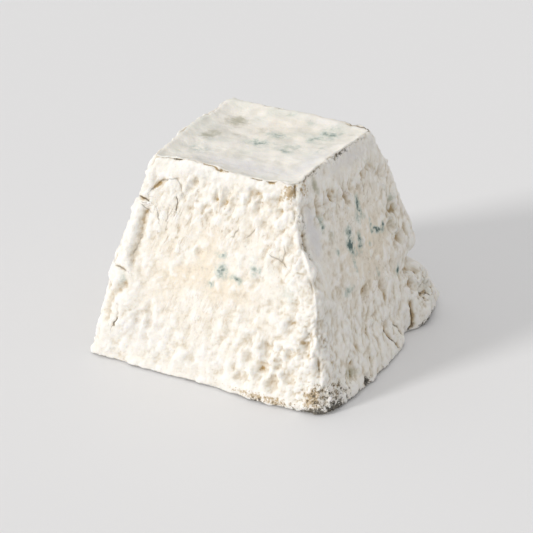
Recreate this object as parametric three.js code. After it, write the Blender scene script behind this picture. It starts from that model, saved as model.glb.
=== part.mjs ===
// A small ripened cheese in the shape of a truncated pyramid, standing on its larger end.
// It is one solid piece: four leaning faces with soft corners, a dished top inside a thin lip,
// a foot that has spread where the cheese rested, and a flat underside.
// Millimetres, +Z up, +X to the right, -Y to the front. The origin is the middle of the underside.
//
// The form starts as a unit block, cut into a grid on every face. Each grid point is rounded in
// plan, rounded in profile, spread between the base and top corners, and then pushed by swells.

import * as THREE from 'three';
import { mergeVertices } from 'three/addons/utils/BufferGeometryUtils.js';

// Driving dimensions.
const BASE_SIDE = 78;
const TOP_SIDE = 46;
const HEIGHT = 61.5;
const CORNER_RADIUS = 4.5;
const LIP_RADIUS = 1.1;
const SHOULDER_RADIUS = 2.4;
const FOOT_RADIUS = 1.6;
const DISH_DEPTH = 2.4;
const DISH_REACH = 3.5;
const BELLY = 0.9;
const DIMPLE_DEPTH = 0.35;
const DIMPLE_PITCH = 11;

// How finely the block is cut along a side and up its height.
const SIDE_STEPS = 24;
const HEIGHT_STEPS = 20;

// How far each corner has slumped from a true square, in X and Y, at the base and at the top.
const CORNER_SLUMP = {
  frontLeft: { base: [-0.6, 0.5], top: [-0.9, -0.7] },
  frontRight: { base: [0.5, -0.5], top: [-2.2, 1.5] },
  backRight: { base: [-0.5, 1.9], top: [-0.3, 0.9] },
  backLeft: { base: [0.0, 0.5], top: [-2.1, 0.3] },
};

// The outward direction of each leaning face, and the direction along it from left to right.
const FACES = {
  front: { outward: [0, -1], along: [1, 0] },
  right: { outward: [1, 0], along: [0, 1] },
  back: { outward: [0, 1], along: [-1, 0] },
  left: { outward: [-1, 0], along: [0, -1] },
};

// Swells and hollows of the faces. Each sits at a share of the half width along the face, from -1
// at its left corner to 1 at its right, and at a share of the height. It reaches wide along the
// face and tall up it, in mm, and stands out by the last value; a negative one is a hollow.
const FACE_SWELLS = [
  { face: 'front', along: -0.85, up: 0.39, wide: 4.5, tall: 24, out: 1.1 },
  { face: 'front', along: -0.07, up: 0.49, wide: 19, tall: 22, out: -0.2 },
  { face: 'front', along: 0.51, up: 0.02, wide: 11, tall: 7, out: 1.7 },
  { face: 'front', along: -0.77, up: 0, wide: 6, tall: 8, out: -1.1 },
  { face: 'front', along: 0.41, up: 0.91, wide: 12, tall: 5, out: 0.7 },
  { face: 'right', along: -1.12, up: 0.57, wide: 6, tall: 11, out: 3.4 },
  { face: 'right', along: -0.76, up: 0.68, wide: 6, tall: 13, out: -1.2 },
  { face: 'right', along: -0.37, up: 0, wide: 17, tall: 12, out: 3.4 },
  { face: 'right', along: 0.16, up: 0, wide: 9, tall: 9, out: 2.2 },
  { face: 'right', along: 0.42, up: 0.02, wide: 3.5, tall: 7, out: -2.0 },
  { face: 'right', along: 0.68, up: 0.07, wide: 8, tall: 6, out: 3.0 },
  { face: 'right', along: 1.05, up: 0.49, wide: 10, tall: 12, out: 0.6 },
  { face: 'right', along: 1, up: 0.3, wide: 9, tall: 3, out: -3.7 },
  { face: 'back', along: -1, up: 0.3, wide: 8, tall: 3, out: -3.0 },
  { face: 'back', along: -0.83, up: 0.08, wide: 10, tall: 7, out: 2.4 },
  { face: 'back', along: 0.13, up: 0.44, wide: 20, tall: 18, out: -0.3 },
  { face: 'back', along: 0.2, up: 0.98, wide: 18, tall: 10, out: 0.8 },
  { face: 'back', along: 0.54, up: 0.05, wide: 12, tall: 9, out: 1.5 },
  { face: 'left', along: -0.51, up: 0.03, wide: 11, tall: 8, out: 1.3 },
  { face: 'left', along: 0.1, up: 0.55, wide: 18, tall: 18, out: -0.2 },
  { face: 'left', along: 0.0, up: 0.98, wide: 16, tall: 10, out: 1.3 },
  { face: 'left', along: 0.87, up: 0.45, wide: 5, tall: 20, out: 0.9 },
];

// Rises and dips of the lip: their place in shares of the top's half side, how far they reach
// and how high they lift it, in mm. Only the band below the rim moves.
const LIP_LIFTS = [
  { x: -0.52, y: -1, reach: 8, lift: 0.9 },
  { x: 0.35, y: -1, reach: 9, lift: -1.1 },
  { x: 0.91, y: -0.91, reach: 5, lift: -0.5 },
  { x: 0.91, y: -0.09, reach: 12, lift: 0.5 },
  { x: -0.2, y: 1.04, reach: 13, lift: 0.9 },
  { x: -1.04, y: 0.1, reach: 13, lift: 0.8 },
  { x: -1.04, y: 1.04, reach: 7, lift: 1.0 },
];
const LIP_BAND = 9;

// Crossing waves that together dimple the faces: pace against the pitch, heading and start in radians.
const DIMPLE_WAVES = [
  { pace: 1, heading: 0.35, start: 0.4 },
  { pace: 0.83, heading: 1.5, start: 1.9 },
  { pace: 1.21, heading: 2.55, start: 4.2 },
];

// The share of a smooth step from 0 to 1 that value has made between low and high.
function smoothStep(low, high, value) {
  const share = THREE.MathUtils.clamp((value - low) / (high - low), 0, 1);
  return share * share * (3 - 2 * share);
}

function dot(first, second) {
  return first[0] * second[0] + first[1] * second[1];
}

// Rounds the four upright edges: a point outside the inner square is drawn in to the fillet.
function roundPlan(x, y) {
  const reach = Math.max(Math.abs(x), Math.abs(y));
  if (reach === 0) return [0, 0];
  const fillet = CORNER_RADIUS / (BASE_SIDE / 2);
  const edge = [x / reach, y / reach];
  const inner = edge.map((value) => THREE.MathUtils.clamp(value, fillet - 1, 1 - fillet));
  const offset = [edge[0] - inner[0], edge[1] - inner[1]];
  const scale = fillet / Math.hypot(offset[0], offset[1]);
  return inner.map((value, axis) => (value + offset[axis] * scale) * reach);
}

// The rim is a thin lip at the front and right, and a soft shoulder at the back and left.
function rimRadius(x, y) {
  return THREE.MathUtils.lerp(LIP_RADIUS, SHOULDER_RADIUS, smoothStep(-0.4, 0.9, y - x));
}

// Rounds the rim and the foot: reach runs from 0 at the middle to 1 at a face, height is in mm.
function roundProfile(reach, height, rim) {
  const out = reach * (BASE_SIDE / 2);
  const radius = height > HEIGHT / 2 ? rim : FOOT_RADIUS;
  const innerOut = Math.min(out, BASE_SIDE / 2 - radius);
  const innerHeight = THREE.MathUtils.clamp(height, radius, HEIGHT - radius);
  const offset = [out - innerOut, height - innerHeight];
  const scale = radius / Math.hypot(offset[0], offset[1]);
  const inset = (innerOut + offset[0] * scale) / (BASE_SIDE / 2);
  return { inset: inset / Math.max(reach, 1e-9), level: innerHeight + offset[1] * scale };
}

// A corner of the outline at a share of the height between base and top.
function cornerAt(signX, signY, slump, share) {
  const half = THREE.MathUtils.lerp(BASE_SIDE, TOP_SIDE, share) / 2;
  const drift = slump.base.map((value, axis) => THREE.MathUtils.lerp(value, slump.top[axis], share));
  return [signX * half + drift[0], signY * half + drift[1]];
}

// Spreads a point of the unit square over the four corners of the outline at its height.
function spread(x, y, share) {
  const right = (1 + x) / 2;
  const back = (1 + y) / 2;
  const frontLeft = cornerAt(-1, -1, CORNER_SLUMP.frontLeft, share);
  const frontRight = cornerAt(1, -1, CORNER_SLUMP.frontRight, share);
  const backRight = cornerAt(1, 1, CORNER_SLUMP.backRight, share);
  const backLeft = cornerAt(-1, 1, CORNER_SLUMP.backLeft, share);
  return [0, 1].map((axis) => {
    const front = THREE.MathUtils.lerp(frontLeft[axis], frontRight[axis], right);
    const rear = THREE.MathUtils.lerp(backLeft[axis], backRight[axis], right);
    return THREE.MathUtils.lerp(front, rear, back);
  });
}

// How far the belly, the dimples and the swells push a face out at a place along and up it.
function pushOut(face, along, up) {
  const belly = BELLY * Math.sin(Math.PI * THREE.MathUtils.clamp(up / HEIGHT, 0, 1));
  const dimple = DIMPLE_WAVES.reduce((total, wave) => {
    const turn = ((2 * Math.PI) / DIMPLE_PITCH) * wave.pace;
    const path = along * Math.cos(wave.heading) + up * Math.sin(wave.heading);
    return total + (DIMPLE_DEPTH / DIMPLE_WAVES.length) * Math.sin(turn * path + wave.start);
  }, 0);
  const swells = FACE_SWELLS.filter((swell) => swell.face === face).map((swell) => {
    const half = THREE.MathUtils.lerp(BASE_SIDE, TOP_SIDE, swell.up) / 2;
    const across = (along - swell.along * half) / swell.wide;
    const rise = (up - swell.up * HEIGHT) / swell.tall;
    return swell.out * Math.exp(-across * across - rise * rise);
  });
  return swells.reduce((total, value) => total + value, belly + dimple);
}

// How much the rim rises at a place in plan.
function lipLift(x, y) {
  const half = TOP_SIDE / 2;
  return LIP_LIFTS.reduce((total, spot) => {
    const distance = Math.hypot(x - spot.x * half, y - spot.y * half) / spot.reach;
    return total + spot.lift * Math.exp(-distance * distance);
  }, 0);
}

// Moves one point of the unit block (x and y from -1 to 1, z from 0 to 1) to the cheese.
function shapePoint(point) {
  const reach = Math.max(Math.abs(point.x), Math.abs(point.y));
  const plan = roundPlan(point.x, point.y);
  const profile = roundProfile(reach, point.z * HEIGHT, rimRadius(point.x, point.y));
  const unit = plan.map((value) => value * profile.inset);
  const share = profile.level / HEIGHT;
  const place = spread(unit[0], unit[1], share);
  const pushed = [...place];
  for (const [name, face] of Object.entries(FACES)) {
    const facing = smoothStep(0.55, 1, dot(unit, face.outward));
    const out = facing * pushOut(name, dot(place, face.along), profile.level);
    pushed[0] += face.outward[0] * out;
    pushed[1] += face.outward[1] * out;
  }
  const half = TOP_SIDE / 2;
  const dish = DISH_DEPTH * (1 - Math.exp(-(((1 - reach) * half) / DISH_REACH)));
  const topShare = smoothStep(HEIGHT - LIP_BAND, HEIGHT, profile.level);
  const rise = topShare * (lipLift(place[0], place[1]) - dish);
  point.set(pushed[0], pushed[1], profile.level + rise);
}

// The whole cheese as one closed mesh, standing on z = 0 and centred in plan.
function cheeseGeometry() {
  const block = new THREE.BoxGeometry(2, 2, 1, SIDE_STEPS, SIDE_STEPS, HEIGHT_STEPS);
  block.translate(0, 0, 0.5);
  block.deleteAttribute('normal');
  block.deleteAttribute('uv');
  const geometry = mergeVertices(block);
  const positions = geometry.getAttribute('position');
  const point = new THREE.Vector3();
  for (let index = 0; index < positions.count; index += 1) {
    point.fromBufferAttribute(positions, index);
    shapePoint(point);
    positions.setXYZ(index, point.x, point.y, point.z);
  }
  geometry.computeBoundingBox();
  const middle = geometry.boundingBox.getCenter(new THREE.Vector3());
  geometry.translate(-middle.x, -middle.y, -geometry.boundingBox.min.z);
  geometry.computeVertexNormals();
  return geometry;
}

function makeCheese() {
  const rind = new THREE.MeshStandardMaterial({ color: 0xf3ede0, roughness: 0.88, metalness: 0 });
  const cheese = new THREE.Mesh(cheeseGeometry(), rind);
  cheese.name = 'cheese';
  return cheese;
}

const model = new THREE.Group();
model.add(makeCheese());

export default model;
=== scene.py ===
"""A small ripened cheese in the shape of a truncated pyramid, with a wrinkled, floury rind.

The cheese is one closed surface. A unit block is spread over the four base and four top
corners, bellied and slumped as the paste settled, and fitted to the frame's box. The rind's
wrinkles, pits, folds and cracks are then raised and sunk along the surface's own normals, and
the same fields say where the rind is creamy, ochre, mouldy or ashy, and where painted shade
lies in its hollows, cracks, folds and along its foot, and painted light on its crowns.

Lengths of the cheese are in millimetres, and its mesh is put down in metres. Lengths of the
studio are in metres.
"""

import sys
import logging
import math
from dataclasses import dataclass, field
from enum import Enum

import bpy
import numpy as np
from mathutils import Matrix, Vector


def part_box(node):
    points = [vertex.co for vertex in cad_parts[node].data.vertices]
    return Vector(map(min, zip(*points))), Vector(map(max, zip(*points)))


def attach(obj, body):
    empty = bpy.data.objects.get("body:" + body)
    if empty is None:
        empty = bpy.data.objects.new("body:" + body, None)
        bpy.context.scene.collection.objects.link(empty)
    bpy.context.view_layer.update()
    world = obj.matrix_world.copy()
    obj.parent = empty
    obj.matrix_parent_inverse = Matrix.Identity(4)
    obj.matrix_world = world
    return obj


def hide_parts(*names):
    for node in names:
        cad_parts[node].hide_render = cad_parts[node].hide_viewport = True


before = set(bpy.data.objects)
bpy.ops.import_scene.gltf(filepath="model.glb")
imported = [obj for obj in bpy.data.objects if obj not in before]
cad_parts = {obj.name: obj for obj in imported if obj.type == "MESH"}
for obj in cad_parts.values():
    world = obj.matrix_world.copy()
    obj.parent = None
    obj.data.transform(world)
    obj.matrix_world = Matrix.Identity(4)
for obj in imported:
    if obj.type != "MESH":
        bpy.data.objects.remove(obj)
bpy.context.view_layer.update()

MM = 0.001
TURN = 2.0 * math.pi

# The least length that anything is divided by, and the distance in mm that says no crack is near.
TINY = 1e-9
NO_CRACK = 9.0

# What brings the noises to about -1 to 1, and how each layer of noise follows the last.
DRIFT_GAIN = 1.6
LAYER_FINENESS = 2.03
LAYER_STRENGTH = 0.55
LAYERS_SCALE = 1.5

log = logging.getLogger("cheese")

Array = np.ndarray
Pair = tuple[float, float]


class Side(Enum):
    """A side of the cheese, with its outward direction and the direction along it."""

    FRONT = ((0.0, -1.0, 0.0), (1.0, 0.0, 0.0))
    RIGHT = ((1.0, 0.0, 0.0), (0.0, 1.0, 0.0))
    BACK = ((0.0, 1.0, 0.0), (-1.0, 0.0, 0.0))
    LEFT = ((-1.0, 0.0, 0.0), (0.0, -1.0, 0.0))
    TOP = ((0.0, 0.0, 1.0), (1.0, 0.0, 0.0))
    UNDER = ((0.0, 0.0, -1.0), (1.0, 0.0, 0.0))

    @property
    def outward(self) -> Array:
        """The direction that the side faces."""
        return np.array(self.value[0])

    @property
    def along(self) -> Array:
        """The direction from the side's left to its right, seen from outside."""
        return np.array(self.value[1])

    @property
    def leans(self) -> bool:
        """True for the four leaning faces."""
        return self not in (Side.TOP, Side.UNDER)


# ---------------------------------------------------------------------------------------------
# Fields: smooth steps, noise on a plane, and crossing waves
# ---------------------------------------------------------------------------------------------


def smooth_step(low: float, high: float, value: Array) -> Array:
    """Rises from 0 at low to 1 at high with a flat start and end.

    Args:
        low: Where the step starts.
        high: Where the step ends.
        value: The values to look up.

    Returns:
        The step at each value: 3 t^2 - 2 t^3, with t the share of the way from low to high.
    """
    share = np.clip((value - low) / (high - low), 0.0, 1.0)
    return share * share * (3.0 - 2.0 * share)


def scatter(column: Array, row: Array, seed: int) -> Array:
    """Gives each cell of a plane its own fixed number from 0 to 1.

    Args:
        column: The cells' columns, as whole numbers.
        row: The cells' rows.
        seed: Picks one of many such scatterings.

    Returns:
        The numbers. Each is a multiply-and-shift mix of the column, the row and the seed.
    """
    mixed = (column.astype(np.int64) * 374761393 + row.astype(np.int64) * 668265263 + seed * 974634777)
    mixed = mixed & 0xFFFFFFFF
    mixed = ((mixed ^ (mixed >> 13)) * 1274126177) & 0xFFFFFFFF
    mixed = ((mixed ^ (mixed >> 16)) * 2246822519) & 0xFFFFFFFF
    return ((mixed ^ (mixed >> 15)) & 0xFFFFFF) / float(0x1000000)


def drift_noise(u: Array, v: Array, seed: int) -> Array:
    """Smooth noise on a plane, with swells about one unit across.

    Args:
        u: The first coordinate.
        v: The second coordinate.
        seed: Picks the noise.

    Returns:
        Values from about -1 to 1. Each lattice corner has a slope in a direction of its own, and the
        four slopes round a point are blended by the quintic step 6 t^5 - 15 t^4 + 10 t^3.
    """
    column, row = np.floor(u), np.floor(v)
    across, rise = u - column, v - row
    blend_u = across**3 * (across * (across * 6.0 - 15.0) + 10.0)
    blend_v = rise**3 * (rise * (rise * 6.0 - 15.0) + 10.0)
    total = np.zeros_like(u)
    for step_u in (0, 1):
        for step_v in (0, 1):
            heading = TURN * scatter(column + step_u, row + step_v, seed)
            slope = np.cos(heading) * (across - step_u) + np.sin(heading) * (rise - step_v)
            share_u = blend_u if step_u else 1.0 - blend_u
            share_v = blend_v if step_v else 1.0 - blend_v
            total += slope * share_u * share_v
    return total * DRIFT_GAIN


def layered_noise(u: Array, v: Array, seed: int, layers: int) -> Array:
    """Adds layers of drift noise, each twice as fine and just over half as strong.

    Args:
        u: The first coordinate, in swells of the coarsest layer.
        v: The second coordinate.
        seed: Picks the noise.
        layers: How many layers to add.

    Returns:
        The sum, from about -1 to 1.
    """
    total = np.zeros_like(u)
    strength = 1.0
    for layer in range(layers):
        fine = LAYER_FINENESS**layer
        total += strength * drift_noise(u * fine, v * fine, seed + 31 * layer)
        strength *= LAYER_STRENGTH
    return total / LAYERS_SCALE


def crossing_waves(u: Array, v: Array, pitch: float, fan: float, seed: int) -> Array:
    """Adds waves of nearly one length and of fanned headings, which wander like worms.

    Args:
        u: Millimetres along the side.
        v: Millimetres up the side.
        pitch: The waves' length in mm.
        fan: How far the waves' directions fan out to each side of level, in radians.
        seed: Picks the waves.

    Returns:
        The sum of the sines, scaled so that its spread is about 1.
    """
    count = 26
    dice = np.random.default_rng(seed)
    turns = fan * dice.uniform(-1.0, 1.0, count)
    pace = TURN / (pitch * (1.0 + 0.2 * dice.uniform(-1.0, 1.0, count)))
    start = TURN * dice.uniform(0.0, 1.0, count)
    path = np.outer(u, np.cos(turns) * pace) + np.outer(v, np.sin(turns) * pace) + start
    return np.sin(path).sum(axis=1) * math.sqrt(2.0 / count)


def rolling_waves(points: Array, pitch: float, seed: int) -> Array:
    """Adds waves of one length that run in all directions through space.

    Args:
        points: Points in mm.
        pitch: The waves' length in mm.
        seed: Picks the waves.

    Returns:
        The sum of the sines at each point, scaled so that its spread is about 1.
    """
    count = 36
    dice = np.random.default_rng(seed)
    heading = dice.normal(size=(3, count))
    heading *= TURN / pitch / np.linalg.norm(heading, axis=0)
    start = TURN * dice.uniform(0.0, 1.0, count)
    return np.sin(points @ heading + start).sum(axis=1) * math.sqrt(2.0 / count)


def summed_waves(points: Array, layers: tuple[tuple[float, float, int], ...]) -> Array:
    """Adds rolling waves in layers, each of a strength, a pitch in mm and a seed."""
    return sum(strength * rolling_waves(points, pitch, seed) for strength, pitch, seed in layers)


def nearest_seeds(u: Array, v: Array, seed: int) -> tuple[Array, Array, Array]:
    """Finds the two nearest of the seeds strewn one to a cell over a plane.

    Args:
        u: The first coordinate, in cells.
        v: The second coordinate.
        seed: Picks the strewing.

    Returns:
        The distances to the nearest and to the next seed in cells, and the nearest seed's own
        number from 0 to 1.
    """
    column, row = np.floor(u), np.floor(v)
    nearest = np.full(u.shape, math.inf)
    second = np.full(u.shape, math.inf)
    number = np.zeros(u.shape)
    for step_u in (-1, 0, 1):
        for step_v in (-1, 0, 1):
            at_u, at_v = column + step_u, row + step_v
            seed_u = at_u + 0.1 + 0.8 * scatter(at_u, at_v, seed)
            seed_v = at_v + 0.1 + 0.8 * scatter(at_u, at_v, seed + 7)
            distance = np.hypot(u - seed_u, v - seed_v)
            second = np.minimum(second, np.maximum(distance, nearest))
            number = np.where(distance < nearest, scatter(at_u, at_v, seed + 13), number)
            nearest = np.minimum(nearest, distance)
    return nearest, second, number


def curd_lumps(u: Array, v: Array, seed: int) -> Array:
    """Rounded lumps that press against each other, one to a unit cell.

    Args:
        u: The first coordinate, in lumps.
        v: The second coordinate.
        seed: Picks the lumps.

    Returns:
        From -1 in the creases between lumps to about 0.6 on their crowns: the root of the gap
        between the two nearest seeds' distances, with each lump a little higher or lower.
    """
    nearest, second, number = nearest_seeds(u, v, seed)
    return 1.9 * np.sqrt(np.clip(second - nearest, 0.0, 0.7)) - 1.0 + 0.35 * (number - 0.5)


# ---------------------------------------------------------------------------------------------
# What lies where on the cheese
# ---------------------------------------------------------------------------------------------


@dataclass(frozen=True)
class Swell:
    """A broad swell or hollow of a leaning face.

    It sits at a share of the half width along the face (-1 to 1) and of the height, reaches
    wide and tall in mm, and stands out by out mm. A negative out is a hollow.
    """

    side: Side
    along: float
    up: float
    wide: float
    tall: float
    out: float


@dataclass(frozen=True)
class LipLift:
    """A rise or dip of the lip, at shares of the top's half side. Reach and lift are in mm."""

    x: float
    y: float
    reach: float
    lift: float


@dataclass(frozen=True)
class Patch:
    """A soft oval on a side: middle, half width and half height in mm, strength and lean.

    The lean turns it anticlockwise, in degrees.
    """

    side: Side
    along: float
    up: float
    wide: float
    tall: float
    strength: float = 1.0
    lean: float = 0.0

    def offsets(self, along: Array, up: Array) -> tuple[Array, Array]:
        """Measures places from the oval's middle, along its own leaning axes.

        Args:
            along: Millimetres along the side.
            up: Millimetres up the side.

        Returns:
            The offsets across and up the oval, in half sizes.
        """
        lean = math.radians(self.lean)
        across, rise = along - self.along, up - self.up
        turned_u = across * math.cos(lean) + rise * math.sin(lean)
        turned_v = rise * math.cos(lean) - across * math.sin(lean)
        return turned_u / self.wide, turned_v / self.tall


@dataclass(frozen=True)
class Crack:
    """A crack or fold line on a side: its corner points in mm, its width, depth and darkness, which is
    painted shade in the groove.
    """

    side: Side
    points: tuple[Pair, ...]
    width: float = 0.5
    depth: float = 0.5
    dark: float = 1.0

    def signed_distance(self, u: Array, v: Array) -> Array:
        """Measures places from the crack.

        Args:
            u: Millimetres along the side.
            v: Millimetres up the side.

        Returns:
            The distance in mm to the nearest of the straight stretches between the corner
            points. It is above 0 to the right of the way that they run, and below 0 to the left.
        """
        signed = np.full(len(u), math.inf)
        for start, end in zip(self.points[:-1], self.points[1:]):
            step = np.array(end) - np.array(start)
            length = float(np.hypot(*step))
            reach_u, reach_v = u - start[0], v - start[1]
            share = np.clip((reach_u * step[0] + reach_v * step[1]) / length**2, 0.0, 1.0)
            distance = np.hypot(reach_u - share * step[0], reach_v - share * step[1])
            hand = np.where(reach_u * step[1] < reach_v * step[0], -1.0, 1.0)
            signed = np.where(distance < np.abs(signed), distance * hand, signed)
        return signed


@dataclass(frozen=True)
class RimLine:
    """A stretch of the rim where the crust has parted or stained.

    It runs along a side from start to end in mm, inset mm inside the rim. Depth is in mm. Dark
    is the painted shade of the crack and ochre the strength of the stain beside it.
    """

    side: Side
    start: float
    end: float
    inset: float
    depth: float
    dark: float
    ochre: float


def marks(kind: type, rows: dict[Side, tuple[tuple, ...]]) -> tuple:
    """Makes a mark of a kind from each row of values, listed under the side that it is on."""
    return tuple(kind(side, *row) for side, listed in rows.items() for row in listed)


# Each row below holds one mark's values, in the order of its kind's fields after the side.

# Broad swells and hollows of the leaning faces.
SWELLS: tuple[Swell, ...] = marks(Swell, {
    Side.FRONT: (
        (-0.85, 0.39, 4.5, 24, 1.1), (-0.07, 0.49, 19, 22, -0.2), (0.51, 0.02, 11, 7, 1.7),
        (-0.77, 0, 6, 8, -1.1), (0.41, 0.91, 12, 5, 0.7),
    ),
    Side.RIGHT: (
        (-1.12, 0.57, 6, 11, 3.4), (-0.76, 0.68, 6, 13, -1.2), (-0.37, 0, 17, 12, 3.4),
        (0.16, 0, 9, 9, 2.2), (0.42, 0.02, 3.5, 7, -2), (0.68, 0.07, 8, 6, 3),
        (1.05, 0.49, 10, 12, 0.6), (1, 0.3, 9, 3, -3.7),
    ),
    Side.BACK: (
        (-1, 0.3, 8, 3, -3), (-0.83, 0.08, 10, 7, 2.4), (0.13, 0.44, 20, 18, -0.3),
        (0.2, 0.98, 18, 10, 0.8), (0.54, 0.05, 12, 9, 1.5),
    ),
    Side.LEFT: (
        (-0.51, 0.03, 11, 8, 1.3), (0.1, 0.55, 18, 18, -0.2), (0, 0.98, 16, 10, 1.3),
        (0.87, 0.45, 5, 20, 0.9),
    ),
})

# Rises and dips of the lip, once round.
LIP_LIFTS: tuple[LipLift, ...] = (
    LipLift(-0.52, -1, 8, 0.9),
    LipLift(0.35, -1, 9, -1.1),
    LipLift(0.91, -0.91, 5, -0.5),
    LipLift(0.91, -0.09, 12, 0.5),
    LipLift(-0.2, 1.04, 13, 0.9),
    LipLift(-1.04, 0.1, 13, 0.8),
    LipLift(-1.04, 1.04, 7, 1.0),
)

# Where the rind has drawn into worm-like wrinkles. The strength is their depth in mm.
WRINKLED: tuple[Patch, ...] = marks(Patch, {
    Side.FRONT: (
        (-6, 52, 18, 6, 0.5), (12, 52, 12, 6, 0.35), (20, 40, 6, 12, 0.3), (24, 20, 9, 12, 0.4),
    ),
    Side.RIGHT: (
        (-2, 50.5, 22, 4.5, 1), (4, 38, 18, 9, 0.15), (22, 35, 5, 12, 1), (-6, 13, 22, 11, 0.7),
    ),
    Side.BACK: (
        (-2, 46, 22, 9, 0.55), (14, 16, 16, 10, 0.45),
    ),
    Side.LEFT: (
        (2, 47, 22, 8, 0.55), (-18, 18, 14, 12, 0.45),
    ),
})

# Where the rind has sunk into round pits. The strength is their depth in mm.
PITTED: tuple[Patch, ...] = marks(Patch, {
    Side.FRONT: (
        (20, 11, 13, 9, 0.35), (2, 8, 12, 6, 0.3), (-20, 12, 12, 8, 0.2),
    ),
    Side.RIGHT: (
        (28, 10, 8, 9, 0.4), (-14, 51, 10, 4, 0.25),
    ),
    Side.BACK: (
        (-22, 12, 14, 9, 0.6), (8, 30, 12, 9, 0.3),
    ),
    Side.LEFT: (
        (18, 12, 13, 9, 0.6), (-8, 32, 10, 8, 0.3),
    ),
})

# Where the rind is crumbly, with small hard grains.
CRUMBLY: tuple[Patch, ...] = marks(Patch, {
    Side.FRONT: (
        (32, 5, 7, 6, 1), (20, 9, 12, 8, 0.45), (19, 58, 5, 4, 0.6), (22, 50, 3, 8, 0.6),
        (26, 33, 3, 10, 0.6), (0, 60.5, 22, 1.5, 0.5), (25, 42, 3, 9, 0.9), (30, 19, 3, 10, 1),
    ),
    Side.RIGHT: (
        (-34, 5, 7, 6, 1), (-20, 58, 4, 4, 0.5), (31, 10, 8, 8, 1.2), (-25.5, 44, 2, 9, 0.9),
        (-31, 19, 3, 10, 1), (0, 60.8, 22, 1.2, 0.5),
    ),
    Side.BACK: (
        (-32, 6, 7, 6, 0.9), (34, 5, 6, 6, 0.8),
    ),
    Side.LEFT: (
        (-34, 5, 6, 6, 0.8), (34, 6, 6, 6, 0.6),
    ),
})

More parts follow.
